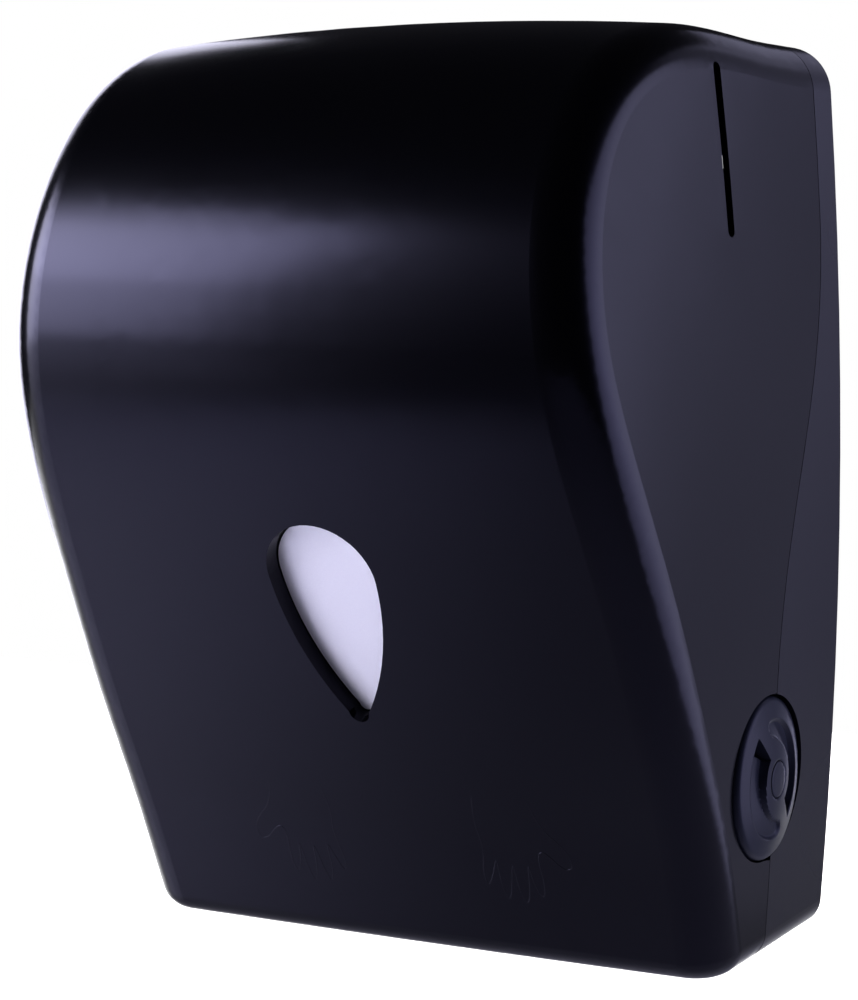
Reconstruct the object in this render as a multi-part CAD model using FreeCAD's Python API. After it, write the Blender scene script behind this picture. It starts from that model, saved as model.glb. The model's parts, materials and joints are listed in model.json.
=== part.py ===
import FreeCAD, Part
import math
import os

from FreeCAD import Vector

os.makedirs("parts", exist_ok=True)

# Autocut towel dispenser for a wall, in millimetres.
# X points to the viewer's right, -Y is the front, +Z is up.
# The pieces are drawn with the wall at y = 0 and the lower edge at z = 0.
# They are saved with the middle of the wall screw pattern at the origin.

# Overall form of the body: half widths at the wall, depths of the front by height
HEIGHT = 371.0
HALF_WIDTH_MIDDLE = 144.0
HALF_WIDTH_TOP = HALF_WIDTH_MIDDLE - 12.0
HALF_WIDTH_BOTTOM = HALF_WIDTH_MIDDLE - 10.5
BARREL_REACH = 40.0
TAPER_TOP = 0.18
TAPER_MIDDLE = 0.074
TAPER_BOTTOM = 0.02
FRONT_CROWN = 2.0
TOP_CROWN = 7.7
BULGE_DEPTH = 202.4
BULGE_HEIGHT = HEIGHT - 124.0
FOOT_DEPTH = 100.7
KNEE_DEPTH = 119.8
KNEE_HEIGHT = 50.0
SLANT_LOW_DEPTH = 143.0
SLANT_LOW_HEIGHT = 100.0
SLANT_HIGH_DEPTH = BULGE_DEPTH - 13.2
SLANT_HIGH_HEIGHT = BULGE_HEIGHT - 47.0
BROW_DEPTH = BULGE_DEPTH - 7.7
BROW_HEIGHT = HEIGHT - 71.0
SHOULDER_DEPTH = BULGE_DEPTH - 34.5
SHOULDER_HEIGHT = HEIGHT - 29.0
TOP_FLAT_DEPTH = 99.7
FRONT_EDGE_RADIUS = 20.0
BOTTOM_EDGE_RADIUS = 12.5
WALL = 2.6
BACK_WALL = 3.0
SEAM_GAP = 0.5
RUN_CLEARANCE = 0.3
OVERRUN = 20.0
FAR = 100.0
PIN_CLEARANCE = 0.06

# Wall screws
MOUNT_HEIGHT = 200.0
MOUNT_SPACING_X = 190.0
MOUNT_SPACING_Z = 240.0
WALL_SLOT_RADIUS = 2.6
WALL_SLOT_LENGTH = 14.0

# Cover hinge near the lower edge, and the parting line above it
HINGE_Y = -69.0
HINGE_Z = 9.0
HINGE_PIN_RADIUS = 2.5
HINGE_BOSS_RADIUS = 7.0
HINGE_EAR_THICK = 5.0
SEAM_TOP_DEPTH = 15.0
SEAM_BEND_TOP = 300.0
SEAM_BEND_BOTTOM = 95.0
SEAM_BEND_PULL = 0.42
LIP_CLEARANCE = 0.4
LIP_THICK = 1.4
LIP_REACH = 5.0
LIP_ROOT = 8.0
LIP_START_HEIGHT = 34.0
FLOOR_REACH = 79.0
OUTLET_FRONT = 88.0
RIB_PITCH = 36.0
RIB_THICK = 1.6
RIB_TOP = 62.0
PAPER_ROOM = 6.0

# Level slots in the flanks of the cover
LEVEL_SLOT_Y = -88.5
LEVEL_SLOT_HIGH = HEIGHT - 18.0
LEVEL_SLOT_LOW = LEVEL_SLOT_HIGH - 65.0
LEVEL_SLOT_WIDTH = 5.0

# Drop-shaped recess and its inlay in the slanted front
BADGE_HEIGHT = 161.0
BADGE_RADIUS = 23.5
BADGE_WAIST = 0.78
BADGE_WAIST_DROP = 0.52
BADGE_TAIL = 61.0
BADGE_TIP_RADIUS = 4.5
BADGE_DEPTH = 8.0
BADGE_DRAFT = 1.2
BADGE_WALL = 2.0
INLAY_THICK = 1.6
INLAY_CLEARANCE = 0.3

# Side frames, and what hangs on their place across the body
FRAME_INNER = HALF_WIDTH_MIDDLE - 31.0
FRAME_THICK = 2.5
FRAME_OUTER = FRAME_INNER + FRAME_THICK
FRAME_BACK = 8.5
FRAME_LOW = 17.0
FRAME_HIGH = 154.0
FRAME_CORNER_RADIUS = 8.0
FRAME_WINDOW_Y = -24.0
FRAME_WINDOW_HEIGHTS = (52.0, 92.0)
FRAME_WINDOW_RADIUS = 8.0
BUSH_RADIUS = 7.05
BUSH_FLANGE_RADIUS = 9.5
BUSH_FLANGE_THICK = 1.5
FLANGE_WIDTH = 14.0
FLANGE_SCREW_X = FRAME_INNER + 8.0
FLANGE_SCREW_HEIGHTS = (50.0, 126.0)
SCREW_RADIUS = 2.0
SCREW_HEAD_RADIUS = 4.0
SCREW_HEAD_THICK = 2.4
SCREW_BOSS_RADIUS = 6.0
TIE_ROD_Y = -16.0
TIE_ROD_HEIGHTS = (30.0, 145.0)
TIE_ROD_RADIUS = 3.0
TIE_ROD_HEAD_RADIUS = 5.0
HINGE_EAR_INNER = FRAME_INNER + 3.0
HINGE_PIN_END = HINGE_EAR_INNER + 16.0

# Drum, shaft and feed knob
DRUM_Y = -66.0
DRUM_Z = 77.0
DRUM_RADIUS = 39.0
DRUM_HALF_LENGTH = FRAME_INNER - 9.0
DRUM_WALL = 2.4
DRUM_END_WALL = 3.0
DRUM_RIB_PITCH = 42.0
SHAFT_RADIUS = 4.0
SHAFT_CLEARANCE = 0.05
KNIFE_ANGLE = 140.0
BAND_RISE = 0.6
BAND_WIDTH = 12.0
BAND_PITCH = 42.0
KNOB_RADIUS = 32.5
KNOB_FACE = HALF_WIDTH_MIDDLE - 4.5
KNOB_THICK = 15.0
KNOB_SKIN = 2.5
KNOB_EDGE_RADIUS = 3.0
KNOB_GAP = 1.0
KNOB_HUB_RADIUS = 8.0
KNOB_CAP_RADIUS = 7.5
KNOB_CAP_DEPTH = 2.0
KNOB_BORE_DEPTH = 3.0
FINGER_DEPTH = 6.5
FINGER_OUTER_RADIUS = 27.0
FINGER_INNER_RADIUS = 12.0
FINGER_TURNS = (45.0, 225.0)

# Crank on the left end of the shaft, with the spring that brings the drum home
CRANK_RADIUS = 14.0
CRANK_PIN_RADIUS = 2.0
CRANK_COLLAR_RADIUS = 3.4
CRANK_INNER = FRAME_OUTER + 2.0
CRANK_THICK = 7.0
CRANK_HUB_RADIUS = 9.0
CRANK_LINK_RADII = (12.0, 6.0)
CRANK_LINK_THICK = 4.0
ANCHOR_Y = -26.0
ANCHOR_Z = 138.0
ANCHOR_RADIUS = 2.5
ANCHOR_COLLAR_RADIUS = 4.0
SPRING_X = FRAME_OUTER + 10.5
SPRING_RADIUS = 3.0
SPRING_WIRE = 0.8
SPRING_HOOK_ROOM = 2.0
SPRING_HOOK_LENGTH = 3.0

# Knife, drawn in the drum's own axes: u runs out through the slot, w a quarter turn on
KNIFE_PIVOT_U = DRUM_RADIUS - 16.0
KNIFE_PIVOT_W = -22.5
KNIFE_TIP_U = DRUM_RADIUS - 2.5
KNIFE_HALF_LENGTH = DRUM_HALF_LENGTH - 3.3
KNIFE_JOURNAL_RADIUS = 2.5
KNIFE_TUBE_RADIUS = 3.6
KNIFE_PLATE_THICK = 3.0
KNIFE_SEAT_LEVEL = -0.6
KNIFE_SEAT_THICK = 2.2
KNIFE_SEAT_REACH = 7.0
KNIFE_WINDOW_LOW = -17.0
KNIFE_WINDOW_HIGH = -7.0
KNIFE_WINDOW_SHARE = 0.28
KNIFE_ROOM_U = 12.0
KNIFE_ROOM_BEHIND = 31.0
KNIFE_ROOM_AHEAD = 4.0
FOLLOWER_ARM_START = DRUM_HALF_LENGTH + 0.6
FOLLOWER_ARM_END = DRUM_HALF_LENGTH + 3.2
FOLLOWER_ARM_RADII = (4.5, 3.5)
BLADE_THICK = 1.0
SLOT_AHEAD = 2.5
SLOT_BEHIND = 13.0
TOOTH_PITCH = 5.0
TOOTH_DEPTH = 2.5
FOLLOWER_U = DRUM_RADIUS - 9.0
FOLLOWER_W = 6.0
FOLLOWER_RADIUS = 4.0
FOLLOWER_PIN_RADIUS = 1.5
CAM_BASE_RADIUS = DRUM_RADIUS - 17.0
CAM_LOBE_RADIUS = CAM_BASE_RADIUS - 2.0
CAM_LOBE_OFFSET = 6.0
CAM_PLATE_RADIUS = DRUM_RADIUS - 8.0

# Pinch roller above the drum
PINCH_ANGLE = 55.0
PINCH_RADIUS = 9.0
PINCH_ARM = 30.0
PINCH_ARM_RADII = (7.0, 6.0)
PINCH_PIN_RADIUS = 3.0
PINCH_TUBE_RADIUS = 5.5
PINCH_TYRE_PITCH = 70.0
PINCH_TYRE_WIDTH = 44.0
PAPER_GAP = 0.3

# Guide sheet under the drum
GUIDE_GAP = 4.0
GUIDE_THICK = 1.6
GUIDE_FRONT_ANGLE = 238.0
GUIDE_BACK_ANGLE = 284.0
GUIDE_TOE_Y = -FLOOR_REACH + 3.0

# Roll holder
ROLL_Y = -BULGE_DEPTH / 2 - 1.8
ROLL_Z = HEIGHT - 131.0
ROLL_HALF_WIDTH = FRAME_INNER - 12.5
CORE_RADIUS = 18.0
HUB_DEPTH = 12.0
HUB_FLANGE_RADIUS = 27.0
HUB_FLANGE_THICK = 2.4
STUB_RADIUS = 4.0
HUB_BORE_RADIUS = STUB_RADIUS + PIN_CLEARANCE
ARM_INNER = ROLL_HALF_WIDTH + 2.7
ARM_THICK = 2.5
ARM_RADII = (23.0, 14.0)
ARM_WINDOW_RADII = (11.0, 7.0)
ARM_WINDOW_INSETS = (26.0, 28.0)
ARM_PIN_X = ARM_INNER + 8.8
ARM_PIN_Y = -14.0
ARM_PIN_RADIUS = 3.0
ARM_LUG_THICK = 8.0
ARM_LUG_RADIUS = 6.0
ARM_LUG_LOW = ROLL_Z - 26.0
ARM_LUG_HIGH = ROLL_Z + 18.0
FOOT_SCREW_SPREAD = 14.0

# Lock in the top wall
LOCK_Y = -60.0
LOCK_RADIUS = 8.5
LOCK_BOTTOM = HEIGHT - 19.0
LOCK_NECK_RADIUS = 3.0
CAM_PLATE_THICK = 2.0
CAM_PLATE_REACH = 18.0
CAM_PLATE_WIDTH = 9.0
KEEPER_Y = -9.0
KEEPER_BOSS_RADIUS = 4.0
KEEPER_BOSSES = (-5.0, 13.0)
KEEPER_THICK = 2.5


def box(x0, x1, y0, y1, z0, z1):
    """Block between two corners."""
    return Part.makeBox(x1 - x0, y1 - y0, z1 - z0, Vector(x0, y0, z0))


def rod_x(y, z, radius, x0, x1):
    """Round bar along X."""
    return Part.makeCylinder(radius, x1 - x0, Vector(x0, y, z), Vector(1, 0, 0))


def rod_y(x, z, radius, y0, y1):
    """Round bar along Y."""
    return Part.makeCylinder(radius, y1 - y0, Vector(x, y0, z), Vector(0, 1, 0))


def rod_z(x, y, radius, z0, z1):
    """Round bar along Z."""
    return Part.makeCylinder(radius, z1 - z0, Vector(x, y, z0), Vector(0, 0, 1))


def mirror_x(shape):
    """The same piece on the other side of the middle plane."""
    return shape.mirror(Vector(0, 0, 0), Vector(1, 0, 0))


def union(shapes):
    """One solid from pieces that overlap."""
    shapes = list(shapes)
    return shapes[0].fuse(shapes[1:]).removeSplitter()


def group(shapes):
    """Several separate solids of one node."""
    return Part.Compound(list(shapes))


def save(name, shape):
    """Write one node with the wall screw pattern at the origin."""
    placed = shape.copy()
    placed.translate(Vector(0, 0, -MOUNT_HEIGHT))
    placed.exportStep("parts/" + name + ".step")
    volume = round(placed.Volume, 1)
    print(name, "solids", len(placed.Solids), "valid", placed.isValid(), "volume", volume)


def prism_x(points, x0, x1):
    """Straight prism along X on a polygon given as (y, z) corners."""
    corners = [Vector(x0, y, z) for y, z in points]
    wire = Part.makePolygon(corners + corners[:1])
    return Part.Face(wire).extrude(Vector(x1 - x0, 0, 0))


def link_x(y0, z0, r0, y1, z1, r1, x0, x1):
    """Flat link along X with two round ends joined by their outer tangents."""
    dy = y1 - y0
    dz = z1 - z0
    length = math.hypot(dy, dz)
    along = math.atan2(dz, dy)
    lean = math.acos((r0 - r1) / length)
    corners = []
    for side in (lean, -lean):
        turn = along + side
        ends = [(y0 + r0 * math.cos(turn), z0 + r0 * math.sin(turn)),
                (y1 + r1 * math.cos(turn), z1 + r1 * math.sin(turn))]
        corners += ends if side == lean else ends[::-1]
    return union([prism_x(corners, x0, x1), rod_x(y0, z0, r0, x0, x1), rod_x(y1, z1, r1, x0, x1)])


def front_points(x):
    """Points of the outline from the foot over the front and the top to the wall, in the plane at x."""
    share = (x / HALF_WIDTH_MIDDLE) ** 2
    crown = TOP_CROWN * share
    back = FRONT_CROWN * share
    middle_depth = (SLANT_LOW_DEPTH + SLANT_HIGH_DEPTH) / 2
    middle_height = (SLANT_LOW_HEIGHT + SLANT_HIGH_HEIGHT) / 2
    front = [(FOOT_DEPTH, 0.0), (KNEE_DEPTH, KNEE_HEIGHT), (SLANT_LOW_DEPTH, SLANT_LOW_HEIGHT),
             (middle_depth, middle_height), (SLANT_HIGH_DEPTH, SLANT_HIGH_HEIGHT),
             (BULGE_DEPTH, BULGE_HEIGHT), (BROW_DEPTH, BROW_HEIGHT - crown / 3),
             (SHOULDER_DEPTH, SHOULDER_HEIGHT - crown)]
    points = [Vector(x, back - depth, height) for depth, height in front]
    top = HEIGHT - crown
    middle = (OVERRUN - TOP_FLAT_DEPTH) / 2
    return points + [Vector(x, y, top) for y in (-TOP_FLAT_DEPTH, middle, OVERRUN)]


def front_curve(points):
    """Smooth curve through the points of the outline."""
    rise = points[1] - points[0]
    curve = Part.BSplineCurve()
    curve.interpolate(Points=points, InitialTangent=rise.normalize(), FinalTangent=Vector(0, 1, 0))
    return curve


def side_outline(inset, x):
    """Closed outline of the body seen from the side, drawn in the plane at x."""
    points = front_points(x)
    curve = front_curve(points)
    inner = []
    for point in points:
        along = curve.tangent(curve.parameter(point))[0].normalize()
        inner.append(point + Vector(0, along.z, -along.y) * inset)
    rise = (inner[1] - inner[0]).normalize()
    inner[0] = inner[0] + rise * ((inset - inner[0].z) / rise.z)
    low = Vector(x, OVERRUN, inset)
    front = front_curve(inner).toShape()
    return Part.Wire([Part.makeLine(low, inner[0]), front, Part.makeLine(inner[-1], low)])


def front_outline(inset, y):
    """Barrel outline of the body seen from the front, taller than the body, in the plane at y."""
    low = -BARREL_REACH
    high = HEIGHT + BARREL_REACH
    bulge = HALF_WIDTH_MIDDLE + TAPER_MIDDLE * y - inset
    top = HALF_WIDTH_TOP + TAPER_TOP * y - inset
    bottom = HALF_WIDTH_BOTTOM + TAPER_BOTTOM * y - inset
    middle = HEIGHT / 2
    right = Part.Arc(Vector(bottom, y, low), Vector(bulge, y, middle), Vector(top, y, high)).toShape()
    left = Part.Arc(Vector(-top, y, high), Vector(-bulge, y, middle), Vector(-bottom, y, low)).toShape()
    edges = [right, Part.makeLine(Vector(top, y, high), Vector(-top, y, high)),
             left, Part.makeLine(Vector(-bottom, y, low), Vector(bottom, y, low))]
    return Part.Wire(edges)


def middle_of(edge):
    """Point halfway along an edge."""
    return edge.valueAt((edge.FirstParameter + edge.LastParameter) / 2)


def body_form(inset):
    """Solid of the whole body pulled inwards by inset, with its rounded edges."""
    reach = HALF_WIDTH_MIDDLE + 10
    sections = [side_outline(inset, x) for x in (-reach, -reach / 2, 0.0, reach / 2, reach)]
    along = Part.makeLoft(sections, True)
    across = Part.makeLoft([front_outline(inset, y) for y in (OVERRUN, -BULGE_DEPTH - OVERRUN)], True)
    form = along.common(across).Solids[0]
    flanks = [e for e in form.Edges
              if abs(middle_of(e).x) > 60 and middle_of(e).y < 0 and middle_of(e).z > inset + 1]
    form = form.makeFillet(FRONT_EDGE_RADIUS - inset, flanks)
    low = [e for e in form.Edges if middle_of(e).z < inset + 0.6 and middle_of(e).y < 0]
    return form.makeFillet(BOTTOM_EDGE_RADIUS - inset, low).Solids[0]


def seam_prism(shift, with_ear):
    """Everything in front of the parting line moved by shift, as a wide prism along X."""
    top_y = -SEAM_TOP_DEPTH + shift
    low_y = HINGE_Y + HINGE_Z + shift
    x = -HALF_WIDTH_MIDDLE - 20
    high = Vector(x, top_y, HEIGHT + FAR)
    bend = Vector(x, top_y, SEAM_BEND_TOP)
    reach = SEAM_BEND_PULL * (SEAM_BEND_TOP - SEAM_BEND_BOTTOM)
    foot = Vector(x, low_y, SEAM_BEND_BOTTOM)
    curve = Part.BezierCurve()
    curve.setPoles([bend, bend - Vector(0, 0, reach), foot + Vector(0, 0, reach), foot])
    ear_back = Vector(x, low_y, HINGE_Z)
    edges = [Part.makeLine(high, bend), curve.toShape(), Part.makeLine(foot, ear_back)]
    if with_ear:
        radius = HINGE_Z + shift
        ear_low = Vector(x, HINGE_Y, HINGE_Z - radius)
        diagonal = Vector(x, HINGE_Y + radius * math.sqrt(0.5), HINGE_Z - radius * math.sqrt(0.5))
        edges.append(Part.Arc(ear_back, diagonal, ear_low).toShape())
        below = Vector(x, HINGE_Y, -FAR)
        edges.append(Part.makeLine(ear_low, below))
    else:
        below = Vector(x, low_y, -FAR)
        edges.append(Part.makeLine(ear_back, below))
    far_low = Vector(x, -BULGE_DEPTH - FAR, -FAR)
    far_high = Vector(x, -BULGE_DEPTH - FAR, HEIGHT + FAR)
    edges += [Part.makeLine(below, far_low), Part.makeLine(far_low, far_high),
              Part.makeLine(far_high, high)]
    return Part.Face(Part.Wire(edges)).extrude(Vector(-2 * x, 0, 0))


def half_round_slot(x, y, z_low, z_high, width, depth):
    """Vertical slot along X with round ends, standing at x."""
    radius = width / 2
    return union([box(x, x + depth, y - radius, y + radius, z_low + radius, z_high - radius),
                  rod_x(y, z_low + radius, radius, x, x + depth),
                  rod_x(y, z_high - radius, radius, x, x + depth)])


def knob_notch():
    """Round opening for the knob and the ring that it sweeps in the cover as the cover swings."""
    opening = KNOB_RADIUS + KNOB_GAP
    reach = math.hypot(DRUM_Y - HINGE_Y, DRUM_Z - HINGE_Z)
    x0 = KNOB_FACE - KNOB_THICK - 6
    x1 = HALF_WIDTH_MIDDLE + 10
    outer = rod_x(HINGE_Y, HINGE_Z, reach + opening, x0, x1)
    inner = rod_x(HINGE_Y, HINGE_Z, reach - opening, x0, x1)
    sector = box(x0, x1, DRUM_Y, HINGE_Y + HINGE_Z + 4, HINGE_Z, DRUM_Z + opening + 10)
    swept = outer.cut(inner).common(sector)
    return rod_x(DRUM_Y, DRUM_Z, opening, x0, x1).fuse(swept)


def slant_up():
    """Direction up along the slanted front."""
    way = Vector(0, SLANT_LOW_DEPTH - SLANT_HIGH_DEPTH, SLANT_HIGH_HEIGHT - SLANT_LOW_HEIGHT)
    return way.normalize()


def slant_normal():
    """Direction straight out of the slanted front."""
    up = slant_up()
    return Vector(0, -up.z, up.y)


def slant_point(height, out):
    """Point on the slanted front in the middle plane, moved outwards by out."""
    up = slant_up()
    foot = Vector(0, -SLANT_LOW_DEPTH, SLANT_LOW_HEIGHT)
    return foot + up * ((height - SLANT_LOW_HEIGHT) / up.z) + slant_normal() * out


def drop_face(grow, out):
    """Face with the outline of the drop, grown by grow, at a level outside the slanted front."""
    centre = slant_point(BADGE_HEIGHT, out)
    up = slant_up()
    across = Vector(1, 0, 0)
    radius = BADGE_RADIUS + grow
    tip = BADGE_TIP_RADIUS + grow
    low = BADGE_TAIL

    def at(side, rise):
        return centre + across * side + up * rise

    top = Part.Arc(at(-radius, 0), at(0, radius), at(radius, 0)).toShape()
    waist = BADGE_WAIST * BADGE_RADIUS + grow
    right = Part.Arc(at(radius, 0), at(waist, -BADGE_WAIST_DROP * low), at(tip, -low)).toShape()
    foot = Part.Arc(at(tip, -low), at(0, -low - tip), at(-tip, -low)).toShape()
    left = Part.Arc(at(-tip, -low), at(-waist, -BADGE_WAIST_DROP * low), at(-radius, 0)).toShape()
    return Part.Face(Part.Wire([top, right, foot, left]))


def drop_loft(grow_floor, grow_top, floor, top):
    """Solid between two drop outlines at two levels outside the slanted front."""
    low = drop_face(grow_floor, floor)
    high = drop_face(grow_top, top)
    return Part.makeLoft([low.OuterWire, high.OuterWire], True, True)


OUTER = body_form(0.0)
INNER = body_form(WALL)
LIP_OUTER = body_form(WALL + LIP_CLEARANCE)
LIP_INNER = body_form(WALL + LIP_CLEARANCE + LIP_THICK)
COVER_SIDE = seam_prism(0.0, True)
HOUSING_CUT = seam_prism(SEAM_GAP, False)


# Cover

def paper_ribs():
    """Six upright ribs behind the lower front that guide the paper past the drum."""
    drum_front = DRUM_Y - DRUM_RADIUS - BAND_RISE
    front = -KNEE_DEPTH - OVERRUN
    outline = [(front, WALL), (-OUTLET_FRONT - 2, WALL), (drum_front + 2 - PAPER_ROOM, RIB_TOP),
               (front, RIB_TOP + 16)]
    ribs = []
    for step in (-2.5, -1.5, -0.5, 0.5, 1.5, 2.5):
        x = step * RIB_PITCH
        ribs.append(prism_x(outline, x - RIB_THICK / 2, x + RIB_THICK / 2))
    return ribs


def cover_shell():
    """Swinging cover with hinge bosses, lock boss, inlay recess, level slots and paper ribs."""
    shell = OUTER.cut(INNER).common(COVER_SIDE)
    boss_inner = HINGE_EAR_INNER + HINGE_EAR_THICK + 2.0
    boss_skin = body_form(WALL - 0.4).common(COVER_SIDE)
    additions = []
    for side in (1, -1):
        boss = rod_x(HINGE_Y, HINGE_Z, HINGE_BOSS_RADIUS, boss_inner, HALF_WIDTH_MIDDLE)
        boss = boss.common(boss_skin)
        additions.append(boss if side == 1 else mirror_x(boss))
    lock_boss = rod_z(0, LOCK_Y, LOCK_RADIUS + 2.5, LOCK_BOTTOM + 4, HEIGHT).common(boss_skin)
    additions.append(lock_boss)
    pad = drop_loft(BADGE_WALL - BADGE_DRAFT, BADGE_WALL, -BADGE_DEPTH - BADGE_WALL, 10.0).common(OUTER)
    additions.append(pad)
    additions += [rib.common(boss_skin) for rib in paper_ribs()]
    shell = shell.fuse(additions)
    mouth = HINGE_EAR_INNER + HINGE_EAR_THICK + 3.0
    cuts = [box(-mouth, mouth, -OUTLET_FRONT, OVERRUN, -1, BOTTOM_EDGE_RADIUS + 4),
            drop_loft(-BADGE_DRAFT, BADGE_DRAFT * 1.4, -BADGE_DEPTH, 12.0),
            rod_z(0, LOCK_Y, LOCK_RADIUS + 0.1, LOCK_BOTTOM - 10, HEIGHT + 10),
            knob_notch()]
    for side in (1, -1):
        pin = rod_x(HINGE_Y, HINGE_Z, HINGE_PIN_RADIUS + 0.08, HINGE_EAR_INNER, HINGE_PIN_END + 0.5)
        slot = half_round_slot(HALF_WIDTH_TOP - 35, LEVEL_SLOT_Y, LEVEL_SLOT_LOW, LEVEL_SLOT_HIGH,
                               LEVEL_SLOT_WIDTH, 60)
        cuts += [pin, slot] if side == 1 else [mirror_x(pin), mirror_x(slot)]
    return shell.cut(cuts)


def badge_inlay():
    """Drop-shaped plate that lies on the floor of the recess."""
    return drop_loft(-BADGE_DRAFT - INLAY_CLEARANCE, -BADGE_DRAFT - INLAY_CLEARANCE,
                     -BADGE_DEPTH, -BADGE_DEPTH + INLAY_THICK)


def lock_barrel():
    """Cylinder lock with a keyway, flush with the top of the cover."""
    barrel = rod_z(0, LOCK_Y, LOCK_RADIUS, LOCK_BOTTOM, HEIGHT - 0.4)
    neck = rod_z(0, LOCK_Y, LOCK_NECK_RADIUS, LOCK_BOTTOM - CAM_PLATE_THICK - 1.5, LOCK_BOTTOM)
    keyway = box(-0.7, 0.7, LOCK_Y - 4.5, LOCK_Y + 4.5, HEIGHT - 9, HEIGHT)
    return union([barrel, neck]).cut(keyway)


def lock_cam():
    """Flat bar under the lock that catches behind the keeper."""
    half = CAM_PLATE_WIDTH / 2
    top = LOCK_BOTTOM
    bar = box(-half, half, LOCK_Y, LOCK_Y + CAM_PLATE_REACH - half, top - CAM_PLATE_THICK, top)
    head = rod_z(0, LOCK_Y, half + 1.0, top - CAM_PLATE_THICK, top)
    tip = rod_z(0, LOCK_Y + CAM_PLATE_REACH - half, half, top - CAM_PLATE_THICK, top)
    return union([bar, head, tip]).cut(rod_z(0, LOCK_Y, LOCK_NECK_RADIUS, top - 5, top + 5))


# Rear housing

def housing_lip():
    """Thin lip inside the cover's edge, rooted behind the parting line."""
    ahead = seam_prism(-LIP_REACH, False)
    behind = seam_prism(LIP_ROOT, False)
    tongue = LIP_OUTER.cut(LIP_INNER).common(behind.cut(ahead))
    root = body_form(WALL - 0.3).cut(LIP_INNER).common(behind.cut(HOUSING_CUT))
    lip = tongue.fuse(root)
    keep = box(-HALF_WIDTH_MIDDLE, HALF_WIDTH_MIDDLE, -100, 0, LIP_START_HEIGHT, HEIGHT)
    knob_room = rod_x(DRUM_Y, DRUM_Z, KNOB_RADIUS + 2.0, HALF_WIDTH_TOP - 40, HALF_WIDTH_MIDDLE)
    slot_room = box(-60, 60, -100, -SEAM_TOP_DEPTH + LIP_ROOT + 1, LOCK_BOTTOM - 12, HEIGHT)
    return lip.common(keep).cut([knob_room, slot_room])


def wall_slots():
    """Level slots for four wall screws."""
    slots = []
    half = WALL_SLOT_LENGTH / 2 - WALL_SLOT_RADIUS
    for x in (-MOUNT_SPACING_X / 2, MOUNT_SPACING_X / 2):
        for z in (MOUNT_HEIGHT - MOUNT_SPACING_Z / 2, MOUNT_HEIGHT + MOUNT_SPACING_Z / 2):
            low = z - WALL_SLOT_RADIUS
            high = z + WALL_SLOT_RADIUS
            middle = box(x - half, x + half, -OVERRUN, OVERRUN, low, high)
            ends = [rod_y(end, z, WALL_SLOT_RADIUS, -OVERRUN, OVERRUN) for end in (x - half, x + half)]
            slots.append(union([middle] + ends))
    return slots


def back_ribs():
    """Upright and level ribs on the inside of the back wall."""
    front = -BACK_WALL - 4
    back = -BACK_WALL + 0.5
    high = LOCK_BOTTOM - 14
    ribs = [box(x - 1, x + 1, front, back, BACK_WALL, high) for x in (-60.0, 0.0, 60.0)]
    reach = HALF_WIDTH_MIDDLE - 10
    ribs += [box(-reach, reach, front, back, z - 1, z + 1) for z in (176.0, BROW_HEIGHT - 10)]
    return ribs


def hinge_ears():
    """Two upright ears on the floor of the housing for the cover's hinge pins."""
    ears = []
    for x in (HINGE_EAR_INNER, -HINGE_EAR_INNER - HINGE_EAR_THICK):
        end = x + HINGE_EAR_THICK
        ears.append(rod_x(HINGE_Y, HINGE_Z, HINGE_BOSS_RADIUS, x, end))
        ears.append(box(x, end, HINGE_Y - HINGE_BOSS_RADIUS, HINGE_Y + HINGE_BOSS_RADIUS, 0, HINGE_Z))
    return ears


def housing_bosses():
    """Screw bosses of the frames, lugs of the right roll arm and bosses of the lock keeper."""
    back = -BACK_WALL + 0.5
    bosses = []
    for x in (-FLANGE_SCREW_X, FLANGE_SCREW_X):
        bosses += [rod_y(x, z, SCREW_BOSS_RADIUS, -FRAME_BACK, back) for z in FLANGE_SCREW_HEIGHTS]
    left = ARM_PIN_X - ARM_LUG_RADIUS
    right = ARM_PIN_X + ARM_LUG_RADIUS
    for z in (ARM_LUG_LOW, ARM_LUG_HIGH):
        top = z + ARM_LUG_THICK
        bosses.append(box(left, right, ARM_PIN_Y, back, z, top))
        bosses.append(rod_z(ARM_PIN_X, ARM_PIN_Y, ARM_LUG_RADIUS, z, top))
    bosses += [rod_z(x, KEEPER_Y, KEEPER_BOSS_RADIUS, HEIGHT - 14, HEIGHT - 1) for x in KEEPER_BOSSES]
    return bosses


def housing_holes():
    """Wall slots, knob opening, hinge and arm pin holes and the frame screw holes."""
    holes = wall_slots()
    outside = HALF_WIDTH_MIDDLE + 10
    holes.append(rod_x(DRUM_Y, DRUM_Z, KNOB_RADIUS + KNOB_GAP, HALF_WIDTH_TOP - 30, outside))
    holes.append(rod_z(ARM_PIN_X, ARM_PIN_Y, ARM_PIN_RADIUS, ARM_LUG_LOW - 10, ARM_LUG_HIGH + 20))
    ear_outer = HINGE_EAR_INNER + HINGE_EAR_THICK
    pin = rod_x(HINGE_Y, HINGE_Z, HINGE_PIN_RADIUS, HINGE_EAR_INNER - 2, ear_outer + 1)
    holes += [pin, mirror_x(pin)]
    front = -FRAME_BACK - 1
    back = -BACK_WALL - 0.5
    for x in (-FLANGE_SCREW_X, FLANGE_SCREW_X):
        holes += [rod_y(x, z, SCREW_RADIUS, front, back) for z in FLANGE_SCREW_HEIGHTS]
    return holes


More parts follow.
